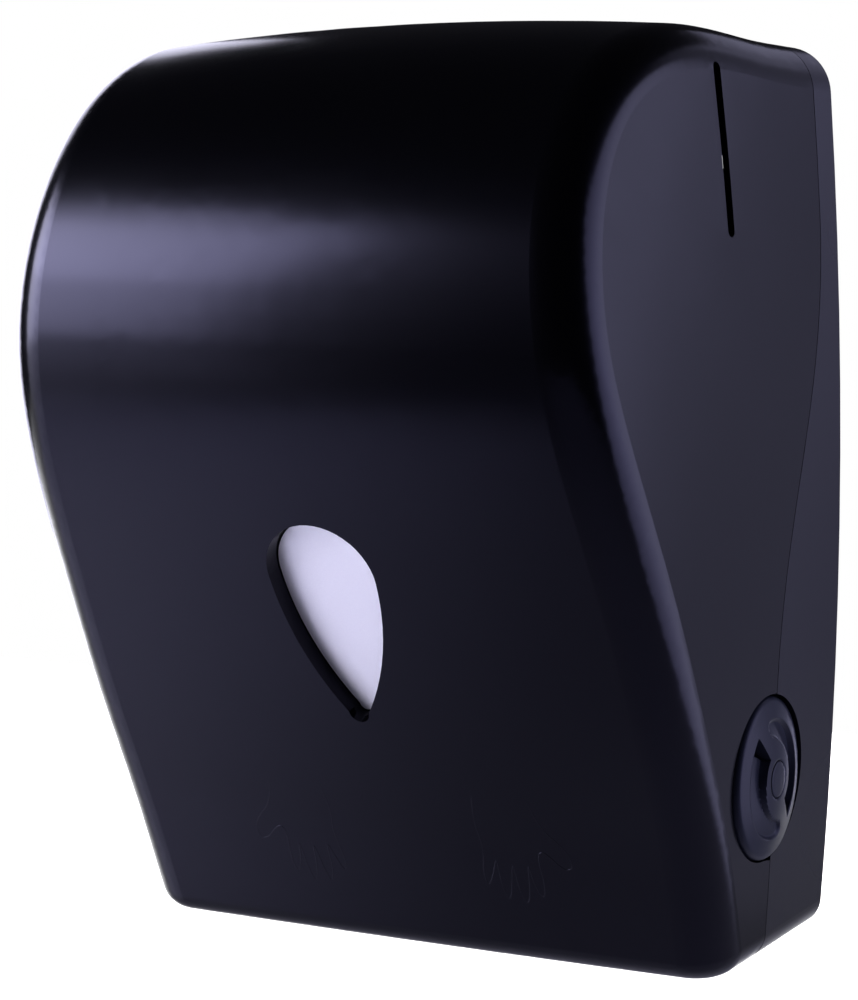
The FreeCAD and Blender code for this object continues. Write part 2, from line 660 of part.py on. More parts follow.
def rear_housing():
    """Wall plate with side walls, floor tongue, hinge ears, screw bosses and arm lugs."""
    far = BULGE_DEPTH + FAR
    cavity = INNER.common(box(-far, far, -far, -BACK_WALL, -FAR, HEIGHT + FAR))
    wall = OUTER.common(box(-far, far, -far, 0, -FAR, HEIGHT + FAR))
    shell = wall.cut(cavity).cut(HOUSING_CUT)
    floor_half = HINGE_EAR_INNER + HINGE_EAR_THICK
    floor = box(-floor_half, floor_half, -FLOOR_REACH, -BACK_WALL, 0, BACK_WALL)
    pieces = [housing_lip(), floor] + hinge_ears() + back_ribs() + housing_bosses()
    return shell.fuse(pieces).cut(housing_holes())


def hinge_pins():
    """Two steel pins pressed into the ears."""
    pin = rod_x(HINGE_Y, HINGE_Z, HINGE_PIN_RADIUS, HINGE_EAR_INNER, HINGE_PIN_END)
    return group([pin, mirror_x(pin)])


def lock_keeper():
    """Bracket under the top of the housing with an upright tab in front of the cam."""
    low = LOCK_BOTTOM - 9.0
    high = low + KEEPER_THICK
    tab_back = LOCK_Y - CAM_PLATE_WIDTH / 2 - 1.0 - RUN_CLEARANCE
    tab_front = tab_back - KEEPER_THICK + 0.5
    left, right = KEEPER_BOSSES
    reach = KEEPER_BOSS_RADIUS + 1
    back = KEEPER_Y + reach
    parts = [box(right - reach, right + reach, tab_front, back, low, high),
             box(right - reach, right + reach, tab_front, tab_back, low, LOCK_BOTTOM - 0.5),
             box(left - reach, right + reach, KEEPER_Y - reach, back, low, high)]
    parts += [rod_z(x, KEEPER_Y, KEEPER_BOSS_RADIUS, low, HEIGHT - 14) for x in KEEPER_BOSSES]
    return union(parts)


# Frames and fixed pieces

def pinch_centre():
    """Axis of the pinch roller, which rests on the drum's grip bands with paper between."""
    reach = DRUM_RADIUS + BAND_RISE + PAPER_GAP + PINCH_RADIUS
    angle = math.radians(PINCH_ANGLE)
    return DRUM_Y + reach * math.cos(angle), DRUM_Z + reach * math.sin(angle)


def pinch_pivot():
    """Pivot of the pinch arms, square to the line from the drum to the roller."""
    y, z = pinch_centre()
    angle = math.radians(PINCH_ANGLE + 90)
    return y + PINCH_ARM * math.cos(angle), z + PINCH_ARM * math.sin(angle)


def side_frame():
    """Right side frame with its screw flange; the left one is its mirror image."""
    x0 = FRAME_INNER
    x1 = FRAME_OUTER
    outline = [(-FRAME_BACK, FRAME_LOW), (DRUM_Y - 6, FRAME_LOW), (DRUM_Y - 26, DRUM_Z - 41),
               (DRUM_Y - 34, DRUM_Z - 2), (DRUM_Y - 22, DRUM_Z + 35), (DRUM_Y - 6, FRAME_HIGH - 8),
               (DRUM_Y + 22, FRAME_HIGH), (-FRAME_BACK, FRAME_HIGH)]
    plate = prism_x(outline, x0, x1)
    corners = [e for e in plate.Edges if abs(abs(middle_of(e).x) - (x0 + x1) / 2) < 0.01]
    front_corners = [e for e in corners if middle_of(e).y < -FRAME_BACK - 1]
    plate = plate.makeFillet(FRAME_CORNER_RADIUS, front_corners)
    flange_front = -FRAME_BACK - FRAME_THICK
    flange = box(x0, x0 + FLANGE_WIDTH, flange_front, -FRAME_BACK, FRAME_LOW + 3, FRAME_HIGH - 2)
    pivot_y, pivot_z = pinch_pivot()
    holes = [(DRUM_Y, DRUM_Z, BUSH_RADIUS), (pivot_y, pivot_z, PINCH_PIN_RADIUS),
             (ANCHOR_Y, ANCHOR_Z, ANCHOR_RADIUS)]
    holes += [(TIE_ROD_Y, z, TIE_ROD_RADIUS) for z in TIE_ROD_HEIGHTS]
    holes += [(FRAME_WINDOW_Y, z, FRAME_WINDOW_RADIUS) for z in FRAME_WINDOW_HEIGHTS]
    cuts = [rod_x(y, z, radius, x0 - 1, x1 + 1) for y, z, radius in holes]
    for z in FLANGE_SCREW_HEIGHTS:
        cuts.append(rod_y(FLANGE_SCREW_X, z, SCREW_RADIUS + 0.2, -FRAME_BACK - 5, -FRAME_BACK + 1))
    return union([plate, flange]).cut(cuts)


def tie_rods():
    """Two rods across the frames with a head and a nut outside."""
    rods = []
    end = FRAME_OUTER
    for z in TIE_ROD_HEIGHTS:
        rod = rod_x(TIE_ROD_Y, z, TIE_ROD_RADIUS, -end - 2, end + 2)
        head = rod_x(TIE_ROD_Y, z, TIE_ROD_HEAD_RADIUS, end, end + 2.5)
        rods.append(union([rod, head, mirror_x(head)]))
    return group(rods)


def frame_screws():
    """Four screws that hold the flanges to the housing's bosses."""
    screws = []
    back = -FRAME_BACK - FRAME_THICK
    for x in (-FLANGE_SCREW_X, FLANGE_SCREW_X):
        for z in FLANGE_SCREW_HEIGHTS:
            head = rod_y(x, z, SCREW_HEAD_RADIUS, back - SCREW_HEAD_THICK, back)
            screws.append(union([head, rod_y(x, z, SCREW_RADIUS, back, -BACK_WALL - 1)]))
    return group(screws)


def shaft_bushes():
    """Two flanged plain bearings in the side frames."""
    end = FRAME_OUTER + BUSH_FLANGE_THICK
    bush = union([rod_x(DRUM_Y, DRUM_Z, BUSH_RADIUS, FRAME_INNER, FRAME_OUTER),
                  rod_x(DRUM_Y, DRUM_Z, BUSH_FLANGE_RADIUS, FRAME_OUTER, end)])
    bush = bush.cut(rod_x(DRUM_Y, DRUM_Z, SHAFT_RADIUS + SHAFT_CLEARANCE, FRAME_INNER - 1, end + 1))
    return group([bush, mirror_x(bush)])


def outlet_guide():
    """Bent sheet under the drum that strips the paper and leads it down to the outlet."""
    radius = DRUM_RADIUS + GUIDE_GAP
    outer = radius + GUIDE_THICK
    level = BACK_WALL + 0.2

    def on_arc(degrees, r):
        angle = math.radians(degrees)
        return Vector(-FRAME_INNER, DRUM_Y + r * math.cos(angle), DRUM_Z + r * math.sin(angle))

    def arc(r, start, end):
        return Part.Arc(on_arc(start, r), on_arc((start + end) / 2, r), on_arc(end, r)).toShape()

    fold = GUIDE_FRONT_ANGLE + 5.0
    edge = on_arc(GUIDE_FRONT_ANGLE, radius)
    toe_front = Vector(-FRAME_INNER, GUIDE_TOE_Y, level)
    toe_top = Vector(-FRAME_INNER, GUIDE_TOE_Y + GUIDE_THICK, level + GUIDE_THICK)
    tail_low = Vector(-FRAME_INNER, HINGE_Y, level)
    tail_high = Vector(-FRAME_INNER, HINGE_Y, level + GUIDE_THICK)
    edges = [arc(radius, GUIDE_BACK_ANGLE, GUIDE_FRONT_ANGLE), Part.makeLine(edge, toe_front),
             Part.makeLine(toe_front, tail_low), Part.makeLine(tail_low, tail_high),
             Part.makeLine(tail_high, toe_top), Part.makeLine(toe_top, on_arc(fold, outer)),
             arc(outer, fold, GUIDE_BACK_ANGLE),
             Part.makeLine(on_arc(GUIDE_BACK_ANGLE, outer), on_arc(GUIDE_BACK_ANGLE, radius))]
    return Part.Face(Part.Wire(edges)).extrude(Vector(2 * FRAME_INNER, 0, 0))


def knife_cam():
    """Fixed cam beside the drum: a round base with a lobe towards the cutting side."""
    angle = math.radians(KNIFE_ANGLE)
    y = DRUM_Y + CAM_LOBE_OFFSET * math.cos(angle)
    z = DRUM_Z + CAM_LOBE_OFFSET * math.sin(angle)
    x0 = DRUM_HALF_LENGTH + 3.6
    plate = rod_x(DRUM_Y, DRUM_Z, CAM_PLATE_RADIUS, FRAME_INNER - 2.0, FRAME_INNER)
    cam = union([plate, rod_x(DRUM_Y, DRUM_Z, CAM_BASE_RADIUS, x0, FRAME_INNER),
                 rod_x(y, z, CAM_LOBE_RADIUS, x0, FRAME_INNER)])
    hollow = rod_x(DRUM_Y, DRUM_Z, CAM_BASE_RADIUS - 4, x0 - 1, FRAME_INNER - 2.0)
    hub = rod_x(DRUM_Y, DRUM_Z, 8.0, x0, FRAME_INNER)
    bore = rod_x(DRUM_Y, DRUM_Z, SHAFT_RADIUS + 0.5, x0 - 1, FRAME_INNER + 1)
    return cam.cut(hollow).fuse(hub).removeSplitter().cut(bore)


# Drum with its shaft, knob and crank

def in_drum(shape):
    """Turn a piece drawn with u along Y and w along Z into the drum's place."""
    placed = shape.copy()
    placed.rotate(Vector(0, 0, 0), Vector(1, 0, 0), KNIFE_ANGLE)
    placed.translate(Vector(0, DRUM_Y, DRUM_Z))
    return placed


def drum_half(lower):
    """Half drum with end walls and inner ribs; the lower half lies ahead of the knife slot."""
    length = DRUM_HALF_LENGTH
    inner = length - DRUM_END_WALL
    hollow = rod_x(0, 0, DRUM_RADIUS - DRUM_WALL, -inner, inner)
    tube = rod_x(0, 0, DRUM_RADIUS, -length, length).cut(hollow)
    ribs = []
    for step in (-1.5, -0.5, 0.5, 1.5):
        x = step * DRUM_RIB_PITCH
        ring = rod_x(0, 0, DRUM_RADIUS - DRUM_WALL + 0.2, x - 1, x + 1)
        ribs.append(ring.cut(rod_x(0, 0, SHAFT_RADIUS + 3.0, x - 2, x + 2)))
    slot_root = SHAFT_RADIUS + 4.0
    outside = DRUM_RADIUS + 1
    if lower:
        keep = box(-length, length, -DRUM_RADIUS, DRUM_RADIUS, SHAFT_CLEARANCE, DRUM_RADIUS)
        slot = box(-inner, inner, slot_root, outside, -1, SLOT_AHEAD)
    else:
        keep = box(-length, length, -DRUM_RADIUS, DRUM_RADIUS, -DRUM_RADIUS, -SHAFT_CLEARANCE)
        slot = box(-inner, inner, slot_root, outside, -SLOT_BEHIND, 1)
    half = tube.fuse(ribs).common(keep)
    room = box(-inner, inner, KNIFE_ROOM_U, DRUM_RADIUS, -KNIFE_ROOM_BEHIND, KNIFE_ROOM_AHEAD)
    bore = rod_x(0, 0, SHAFT_RADIUS, -length - 1, length + 1)
    journal_radius = KNIFE_JOURNAL_RADIUS + PIN_CLEARANCE
    journal = rod_x(KNIFE_PIVOT_U, KNIFE_PIVOT_W, journal_radius, -length - 1, length + 1)
    return in_drum(half.cut([slot, room.common(hollow), bore, journal]))


def drum_shaft():
    """Steel shaft from the crank disc to the knob."""
    left = -CRANK_INNER - CRANK_THICK + 0.5
    right = KNOB_FACE - KNOB_THICK + KNOB_BORE_DEPTH
    return rod_x(DRUM_Y, DRUM_Z, SHAFT_RADIUS, left, right)


def grip_bands():
    """Rubber bands round the drum, open at the knife slot."""
    bands = []
    far = DRUM_HALF_LENGTH + FAR
    opening = box(-far, far, 0, DRUM_RADIUS + 3, -SLOT_BEHIND - 1.0, SLOT_AHEAD + 1.0)
    for step in (-2, -1, 0, 1, 2):
        x = step * BAND_PITCH
        ring = rod_x(0, 0, DRUM_RADIUS + BAND_RISE, x - BAND_WIDTH / 2, x + BAND_WIDTH / 2)
        ring = ring.cut(rod_x(0, 0, DRUM_RADIUS, x - BAND_WIDTH, x + BAND_WIDTH))
        bands.append(in_drum(ring.cut(opening)))
    return group(bands)


def finger_ramp(turn):
    """Curved finger recess in the knob's face, deep at one end and running out at the other."""
    floor = KNOB_FACE - FINGER_DEPTH
    above = KNOB_FACE + 3
    outer = rod_x(0, 0, FINGER_OUTER_RADIUS, floor, above)
    inner = rod_x(0, 0, FINGER_INNER_RADIUS, floor - 1, above + 1)
    far = FINGER_OUTER_RADIUS + 3
    corners = [(floor, -far), (above, -far), (above, far), (KNOB_FACE, FINGER_INNER_RADIUS)]
    points = [Vector(x, -2, z) for x, z in corners]
    ramp = Part.Face(Part.makePolygon(points + points[:1])).extrude(Vector(0, far + 4, 0))
    recess = outer.cut(inner).common(ramp)
    recess.rotate(Vector(0, 0, 0), Vector(1, 0, 0), turn)
    recess.translate(Vector(0, DRUM_Y, DRUM_Z))
    return recess


def feed_knob():
    """Knob on the shaft for feeding paper, with two finger recesses and a rounded rim."""
    back = KNOB_FACE - KNOB_THICK
    disc = rod_x(DRUM_Y, DRUM_Z, KNOB_RADIUS, back, KNOB_FACE)
    rim = [e for e in disc.Edges if abs(middle_of(e).x - KNOB_FACE) < 0.01]
    disc = disc.makeFillet(KNOB_EDGE_RADIUS, rim)
    roof = KNOB_FACE - FINGER_DEPTH - KNOB_SKIN
    hollow = rod_x(DRUM_Y, DRUM_Z, KNOB_RADIUS - KNOB_SKIN, back - 1, roof)
    hub = rod_x(DRUM_Y, DRUM_Z, KNOB_HUB_RADIUS, FRAME_OUTER + 2.0, roof + 1.0)
    knob = union([disc.cut(hollow), hub])
    bore = rod_x(DRUM_Y, DRUM_Z, SHAFT_RADIUS, FRAME_INNER, back + KNOB_BORE_DEPTH)
    seat_floor = KNOB_FACE - KNOB_CAP_DEPTH
    cap_seat = rod_x(DRUM_Y, DRUM_Z, KNOB_CAP_RADIUS + 0.4, seat_floor, KNOB_FACE + 1)
    return knob.cut([bore, cap_seat] + [finger_ramp(turn) for turn in FINGER_TURNS])


def knob_cap():
    """Round cap in the middle of the knob."""
    face = KNOB_FACE - 0.1
    cap = rod_x(DRUM_Y, DRUM_Z, KNOB_CAP_RADIUS, KNOB_FACE - KNOB_CAP_DEPTH, face)
    return cap.makeFillet(0.5, [e for e in cap.Edges if abs(middle_of(e).x - face) < 0.01])


def crank_place():
    """Place of the crank pin at rest, in line from the shaft to the spring's anchor."""
    angle = math.atan2(ANCHOR_Z - DRUM_Z, ANCHOR_Y - DRUM_Y)
    return DRUM_Y + CRANK_RADIUS * math.cos(angle), DRUM_Z + CRANK_RADIUS * math.sin(angle)


def crank_disc():
    """Hub and link on the left end of the shaft that carry the crank pin."""
    outer = -CRANK_INNER - CRANK_THICK
    y, z = crank_place()
    hub = rod_x(DRUM_Y, DRUM_Z, CRANK_HUB_RADIUS, outer, -CRANK_INNER)
    link_end = -CRANK_INNER - 0.5
    root, eye = CRANK_LINK_RADII
    link = link_x(DRUM_Y, DRUM_Z, root, y, z, eye, link_end - CRANK_LINK_THICK, link_end)
    return union([hub, link]).cut([rod_x(DRUM_Y, DRUM_Z, SHAFT_RADIUS, outer - 2, -CRANK_INNER + 1),
                                   rod_x(y, z, CRANK_PIN_RADIUS, outer - 2, -CRANK_INNER + 1)])


def grooved_pin(y, z, radius, collar, inner_end):
    """Pin on the left side with a collar on both sides of the spring's hook."""
    near = SPRING_X - SPRING_HOOK_ROOM
    far = SPRING_X + SPRING_HOOK_ROOM
    return union([rod_x(y, z, radius, -far - 1, -inner_end), rod_x(y, z, collar, -far - 2, -far),
                  rod_x(y, z, collar, -near, -near + 1.5)])


def crank_pin():
    """Grooved pin on the crank for the moving end of the return spring."""
    y, z = crank_place()
    return grooved_pin(y, z, CRANK_PIN_RADIUS, CRANK_COLLAR_RADIUS, CRANK_INNER + 0.5)


def anchor_pin():
    """Pin on the left frame for the fixed end of the return spring."""
    pin = grooved_pin(ANCHOR_Y, ANCHOR_Z, ANCHOR_RADIUS, ANCHOR_COLLAR_RADIUS, FRAME_INNER)
    shoulder_end = -SPRING_X + SPRING_HOOK_ROOM
    shoulder = rod_x(ANCHOR_Y, ANCHOR_Z, ANCHOR_COLLAR_RADIUS, shoulder_end, -FRAME_OUTER)
    return union([pin, shoulder])


def return_spring():
    """Plain body of the coil spring between crank pin and anchor, with a neck at each end."""
    y, z = crank_place()
    start = Vector(-SPRING_X, y, z)
    end = Vector(-SPRING_X, ANCHOR_Y, ANCHOR_Z)
    way = (end - start).normalize()
    length = (end - start).Length
    coil_start = CRANK_COLLAR_RADIUS + RUN_CLEARANCE + SPRING_HOOK_LENGTH
    coil_end = length - ANCHOR_COLLAR_RADIUS - RUN_CLEARANCE - SPRING_HOOK_LENGTH
    coil = Part.makeCylinder(SPRING_RADIUS, coil_end - coil_start, start + way * coil_start, way)
    neck_start = CRANK_PIN_RADIUS + RUN_CLEARANCE
    neck_end = length - ANCHOR_RADIUS - RUN_CLEARANCE
    neck = Part.makeCylinder(SPRING_WIRE, neck_end - neck_start, start + way * neck_start, way)
    return union([coil, neck])


# Knife

def knife_carrier():
    """Swinging carrier inside the drum with journals at both ends."""
    end = KNIFE_HALF_LENGTH
    behind = KNIFE_PIVOT_U - KNIFE_PLATE_THICK / 2
    ahead = KNIFE_PIVOT_U + KNIFE_PLATE_THICK / 2
    tube = rod_x(KNIFE_PIVOT_U, KNIFE_PIVOT_W, KNIFE_TUBE_RADIUS, -end, end)
    plate = box(-end, end, behind, ahead, KNIFE_PIVOT_W, KNIFE_SEAT_LEVEL)
    seat_low = KNIFE_SEAT_LEVEL - KNIFE_SEAT_THICK
    seat = box(-end, end, behind, KNIFE_PIVOT_U + KNIFE_SEAT_REACH, seat_low, KNIFE_SEAT_LEVEL)
    journals = rod_x(KNIFE_PIVOT_U, KNIFE_PIVOT_W, KNIFE_JOURNAL_RADIUS,
                     -DRUM_HALF_LENGTH, FOLLOWER_ARM_END)
    pitch = end / 2
    half = KNIFE_WINDOW_SHARE * pitch
    windows = [box(step * pitch - half, step * pitch + half, behind - 2, ahead + 2,
                   KNIFE_WINDOW_LOW, KNIFE_WINDOW_HIGH) for step in (-1.5, -0.5, 0.5, 1.5)]
    return in_drum(union([tube, plate, seat, journals]).cut(windows))


def knife_blade():
    """Saw-toothed steel blade on the carrier's seat."""
    end = KNIFE_HALF_LENGTH - 1.0
    level = KNIFE_SEAT_LEVEL
    points = [Vector(-end, KNIFE_PIVOT_U, level), Vector(end, KNIFE_PIVOT_U, level)]
    root = KNIFE_TIP_U - TOOTH_DEPTH
    count = int(2 * end / TOOTH_PITCH)
    pitch = 2 * end / count
    for i in range(count):
        x = end - i * pitch
        points.append(Vector(x, root, level))
        points.append(Vector(x - pitch / 2, KNIFE_TIP_U, level))
    points.append(Vector(-end, root, level))
    face = Part.Face(Part.makePolygon(points + points[:1]))
    return in_drum(face.extrude(Vector(0, 0, BLADE_THICK)))


def follower_arm():
    """Arm on the right journal of the carrier with the pin of the cam roller."""
    x0 = FOLLOWER_ARM_START
    x1 = FOLLOWER_ARM_END
    root, eye = FOLLOWER_ARM_RADII
    link = link_x(KNIFE_PIVOT_U, KNIFE_PIVOT_W, root, FOLLOWER_U, FOLLOWER_W, eye, x0, x1)
    pin = rod_x(FOLLOWER_U, FOLLOWER_W, FOLLOWER_PIN_RADIUS, x0, x1 + 3.6)
    bore = rod_x(KNIFE_PIVOT_U, KNIFE_PIVOT_W, KNIFE_JOURNAL_RADIUS, x0 - 1, x1 + 1)
    return in_drum(union([link, pin]).cut(bore))


def follower_roller():
    """Small roller that runs on the cam."""
    x0 = FOLLOWER_ARM_END + RUN_CLEARANCE
    roller = rod_x(FOLLOWER_U, FOLLOWER_W, FOLLOWER_RADIUS, x0, x0 + 3.0)
    bore_radius = FOLLOWER_PIN_RADIUS + PIN_CLEARANCE
    return in_drum(roller.cut(rod_x(FOLLOWER_U, FOLLOWER_W, bore_radius, x0 - 1, x0 + 5)))


# Pinch roller

def pinch_arms():
    """Two arms that press the roller down on the drum."""
    y0, z0 = pinch_pivot()
    y1, z1 = pinch_centre()
    inner = FRAME_INNER - 4.5
    outer = FRAME_INNER - 2.3
    root, eye = PINCH_ARM_RADII
    arm = link_x(y0, z0, root, y1, z1, eye, inner, outer)
    arm = arm.cut([rod_x(y0, z0, PINCH_PIN_RADIUS + PIN_CLEARANCE, inner - 5, outer + 5),
                   rod_x(y1, z1, PINCH_PIN_RADIUS, inner - 5, outer + 5)])
    return group([arm, mirror_x(arm)])


def pinch_pivots():
    """Two shoulder pins in the side frames for the pinch arms."""
    y, z = pinch_pivot()
    pin = union([rod_x(y, z, PINCH_PIN_RADIUS, FRAME_INNER - 5.5, FRAME_OUTER),
                 rod_x(y, z, 5.0, FRAME_OUTER, FRAME_OUTER + 1.5),
                 rod_x(y, z, 4.5, FRAME_INNER - 6.5, FRAME_INNER - 5.0),
                 rod_x(y, z, 4.5, FRAME_INNER - 2.0, FRAME_INNER)])
    return group([pin, mirror_x(pin)])


def pinch_shaft():
    """Fixed axle between the two pinch arms."""
    y, z = pinch_centre()
    return rod_x(y, z, PINCH_PIN_RADIUS, -FRAME_INNER + 1.5, FRAME_INNER - 1.5)


def pinch_roller():
    """Roller tube that turns on the axle."""
    y, z = pinch_centre()
    end = FRAME_INNER - 6.0
    bore = rod_x(y, z, PINCH_PIN_RADIUS + PIN_CLEARANCE, -end - 1, end + 1)
    return rod_x(y, z, PINCH_TUBE_RADIUS, -end, end).cut(bore)


def pinch_tyres():
    """Three rubber tyres on the roller tube."""
    y, z = pinch_centre()
    half = PINCH_TYRE_WIDTH / 2
    tyres = []
    for x in (-PINCH_TYRE_PITCH, 0.0, PINCH_TYRE_PITCH):
        tyre = rod_x(y, z, PINCH_RADIUS, x - half, x + half)
        tyres.append(tyre.cut(rod_x(y, z, PINCH_TUBE_RADIUS, x - half - 1, x + half + 1)))
    return group(tyres)


# Roll holder

def roll_arm():
    """Flat arm of the right side, lightened by a window, that ends behind its pin."""
    x1 = ARM_INNER + ARM_THICK
    root, eye = ARM_RADII
    plate = link_x(ARM_PIN_Y, ROLL_Z, root, ROLL_Y, ROLL_Z, eye, ARM_INNER, x1)
    plate = plate.common(box(ARM_INNER, x1, -BULGE_DEPTH, ARM_PIN_Y + 3, 0, HEIGHT))
    back, front = ARM_WINDOW_RADII
    back_inset, front_inset = ARM_WINDOW_INSETS
    window = link_x(ARM_PIN_Y - back_inset, ROLL_Z, back, ROLL_Y + front_inset, ROLL_Z, front,
                    ARM_INNER - 1, x1 + 1)
    return plate.cut(window)


def hub_stub():
    """Stub on the arm that the hub turns on, with a retaining head."""
    end = ROLL_HALF_WIDTH - HUB_DEPTH - RUN_CLEARANCE
    stub = rod_x(ROLL_Y, ROLL_Z, STUB_RADIUS, end, ARM_INNER + ARM_THICK)
    return union([stub, rod_x(ROLL_Y, ROLL_Z, STUB_RADIUS + 2, end - 1.5, end)])


def right_roll_arm():
    """Arm that swings outwards on the upright pin."""
    low = ARM_LUG_LOW + ARM_LUG_THICK + RUN_CLEARANCE
    high = ARM_LUG_HIGH - RUN_CLEARANCE
    knuckle = rod_z(ARM_PIN_X, ARM_PIN_Y, ARM_LUG_RADIUS, low, high)
    web = box(ARM_INNER, ARM_PIN_X, ARM_PIN_Y - 3, ARM_PIN_Y + 3, low, high)
    x1 = ARM_INNER + ARM_THICK
    root = box(ARM_INNER, x1, -BULGE_DEPTH, ARM_PIN_Y + 3, low, high)
    blade = box(ARM_INNER, x1, -BULGE_DEPTH, ARM_PIN_Y - 8, 0, HEIGHT)
    plate = roll_arm().common(root.fuse(blade))
    bore = rod_z(ARM_PIN_X, ARM_PIN_Y, ARM_PIN_RADIUS + PIN_CLEARANCE, low - 1, high + 1)
    return union([plate, knuckle, web, hub_stub()]).cut(bore)


def left_roll_arm():
    """Fixed arm with a foot on the back wall."""
    low = ROLL_Z - 22
    high = ROLL_Z + 22
    front = -BACK_WALL - 2.5
    foot = box(ARM_INNER, ARM_INNER + 16, front, -BACK_WALL, low, high)
    neck = box(ARM_INNER, ARM_INNER + ARM_THICK, ARM_PIN_Y + 1, -BACK_WALL, low, high)
    holes = [rod_y(ARM_INNER + 10, ROLL_Z + dz, SCREW_RADIUS + 0.2, front - 2, -BACK_WALL + 1)
             for dz in (-FOOT_SCREW_SPREAD, FOOT_SCREW_SPREAD)]
    return mirror_x(union([roll_arm(), hub_stub(), foot, neck]).cut(holes))


def arm_screws():
    """Two screws through the foot of the left arm."""
    x = -ARM_INNER - 10
    front = -BACK_WALL - 2.5
    screws = []
    for z in (ROLL_Z - FOOT_SCREW_SPREAD, ROLL_Z + FOOT_SCREW_SPREAD):
        head = rod_y(x, z, SCREW_HEAD_RADIUS, front - SCREW_HEAD_THICK, front)
        screws.append(union([head, rod_y(x, z, SCREW_RADIUS + 0.2, front, -BACK_WALL)]))
    return group(screws)


def arm_hinge_pin():
    """Upright pin of the right arm with a head on top."""
    high = ARM_LUG_HIGH + ARM_LUG_THICK
    return union([rod_z(ARM_PIN_X, ARM_PIN_Y, ARM_PIN_RADIUS, ARM_LUG_LOW - 1.5, high),
                  rod_z(ARM_PIN_X, ARM_PIN_Y, ARM_PIN_RADIUS + 2, high, high + 1.5)])


def roll_hub():
    """Right hub that fits the cardboard core and turns with the roll."""
    face = ROLL_HALF_WIDTH
    tip = face - HUB_DEPTH
    end = face + HUB_FLANGE_THICK
    plug = rod_x(ROLL_Y, ROLL_Z, CORE_RADIUS, tip, face)
    plug = plug.makeChamfer(2.0, [e for e in plug.Edges if abs(middle_of(e).x - tip) < 0.01])
    hub = union([plug, rod_x(ROLL_Y, ROLL_Z, HUB_FLANGE_RADIUS, face, end)])
    sleeve = rod_x(ROLL_Y, ROLL_Z, HUB_BORE_RADIUS + 3, tip, face + 1)
    hollow = rod_x(ROLL_Y, ROLL_Z, CORE_RADIUS - 4, tip + 2, face - 0.01).cut(sleeve)
    bore = rod_x(ROLL_Y, ROLL_Z, HUB_BORE_RADIUS, tip - 1, end + 1)
    notch_circle = (CORE_RADIUS + HUB_FLANGE_RADIUS) / 2
    notches = []
    for i in range(6):
        angle = math.radians(60 * i)
        y = ROLL_Y + notch_circle * math.cos(angle)
        z = ROLL_Z + notch_circle * math.sin(angle)
        notches.append(rod_x(y, z, 2.5, face - 1, end + 1))
    return hub.cut([hollow, bore] + notches)


save("rear_housing", rear_housing())
save("hinge_pins", hinge_pins())
save("lock_keeper", lock_keeper())
save("right_side_frame", side_frame())
save("left_side_frame", mirror_x(side_frame()))
save("tie_rods", tie_rods())
save("frame_screws", frame_screws())
save("shaft_bushes", shaft_bushes())
save("outlet_guide", outlet_guide())
save("knife_cam", knife_cam())
save("spring_anchor_pin", anchor_pin())
save("return_spring", return_spring())
save("pinch_pivots", pinch_pivots())
save("left_roll_arm", left_roll_arm())
save("arm_screws", arm_screws())
save("arm_hinge_pin", arm_hinge_pin())
save("cover_shell", cover_shell())
save("badge_inlay", badge_inlay())
save("lock_barrel", lock_barrel())
save("lock_cam", lock_cam())
save("drum_front_half", drum_half(True))
save("drum_rear_half", drum_half(False))
save("drum_shaft", drum_shaft())
save("grip_bands", grip_bands())
save("feed_knob", feed_knob())
save("knob_cap", knob_cap())
save("crank_disc", crank_disc())
save("crank_pin", crank_pin())
save("knife_carrier", knife_carrier())
save("knife_blade", knife_blade())
save("follower_arm", follower_arm())
save("follower_roller", follower_roller())
save("pinch_arms", pinch_arms())
save("pinch_shaft", pinch_shaft())
save("pinch_roller", pinch_roller())
save("pinch_tyres", pinch_tyres())
save("right_roll_arm", right_roll_arm())
save("right_roll_hub", roll_hub())
save("left_roll_hub", mirror_x(roll_hub()))
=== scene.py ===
# %% [markdown]
# # An autocut towel dispenser
#
# A towel dispenser hangs on a washroom wall. Its dark cover swings down on two pins near the
# lower edge, and behind it a paper roll turns on two hubs above a drum with a hidden knife.
# The solid pieces come from a CAD file as a fixed frame. This lesson gives them their finishes,
# adds what is too fine for the CAD file, and sets up the light and the camera.

# %% Load the frame
import json
import math

import bmesh
import bpy
from mathutils import Matrix, Vector

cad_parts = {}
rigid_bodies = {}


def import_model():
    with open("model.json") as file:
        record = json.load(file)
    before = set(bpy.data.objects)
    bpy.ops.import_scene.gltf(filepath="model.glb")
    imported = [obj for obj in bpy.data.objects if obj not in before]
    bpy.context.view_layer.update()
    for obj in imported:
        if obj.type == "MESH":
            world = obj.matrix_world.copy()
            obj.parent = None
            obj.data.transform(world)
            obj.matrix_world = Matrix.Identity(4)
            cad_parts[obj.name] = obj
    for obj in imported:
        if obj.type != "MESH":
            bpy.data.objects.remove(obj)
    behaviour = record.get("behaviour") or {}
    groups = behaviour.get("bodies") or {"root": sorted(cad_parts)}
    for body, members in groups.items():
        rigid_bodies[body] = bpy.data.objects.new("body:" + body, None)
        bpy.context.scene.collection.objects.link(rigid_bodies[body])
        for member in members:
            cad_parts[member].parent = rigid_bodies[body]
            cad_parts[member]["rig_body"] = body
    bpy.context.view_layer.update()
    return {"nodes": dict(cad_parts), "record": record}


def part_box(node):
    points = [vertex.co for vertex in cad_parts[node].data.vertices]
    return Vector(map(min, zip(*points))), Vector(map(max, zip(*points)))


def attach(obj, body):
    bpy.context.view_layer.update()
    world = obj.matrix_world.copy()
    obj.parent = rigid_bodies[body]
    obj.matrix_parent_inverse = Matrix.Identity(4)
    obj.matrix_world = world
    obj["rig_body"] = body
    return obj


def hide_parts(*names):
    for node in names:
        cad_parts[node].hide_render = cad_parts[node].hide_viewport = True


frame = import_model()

NODES = frame["nodes"]
MM = 0.001

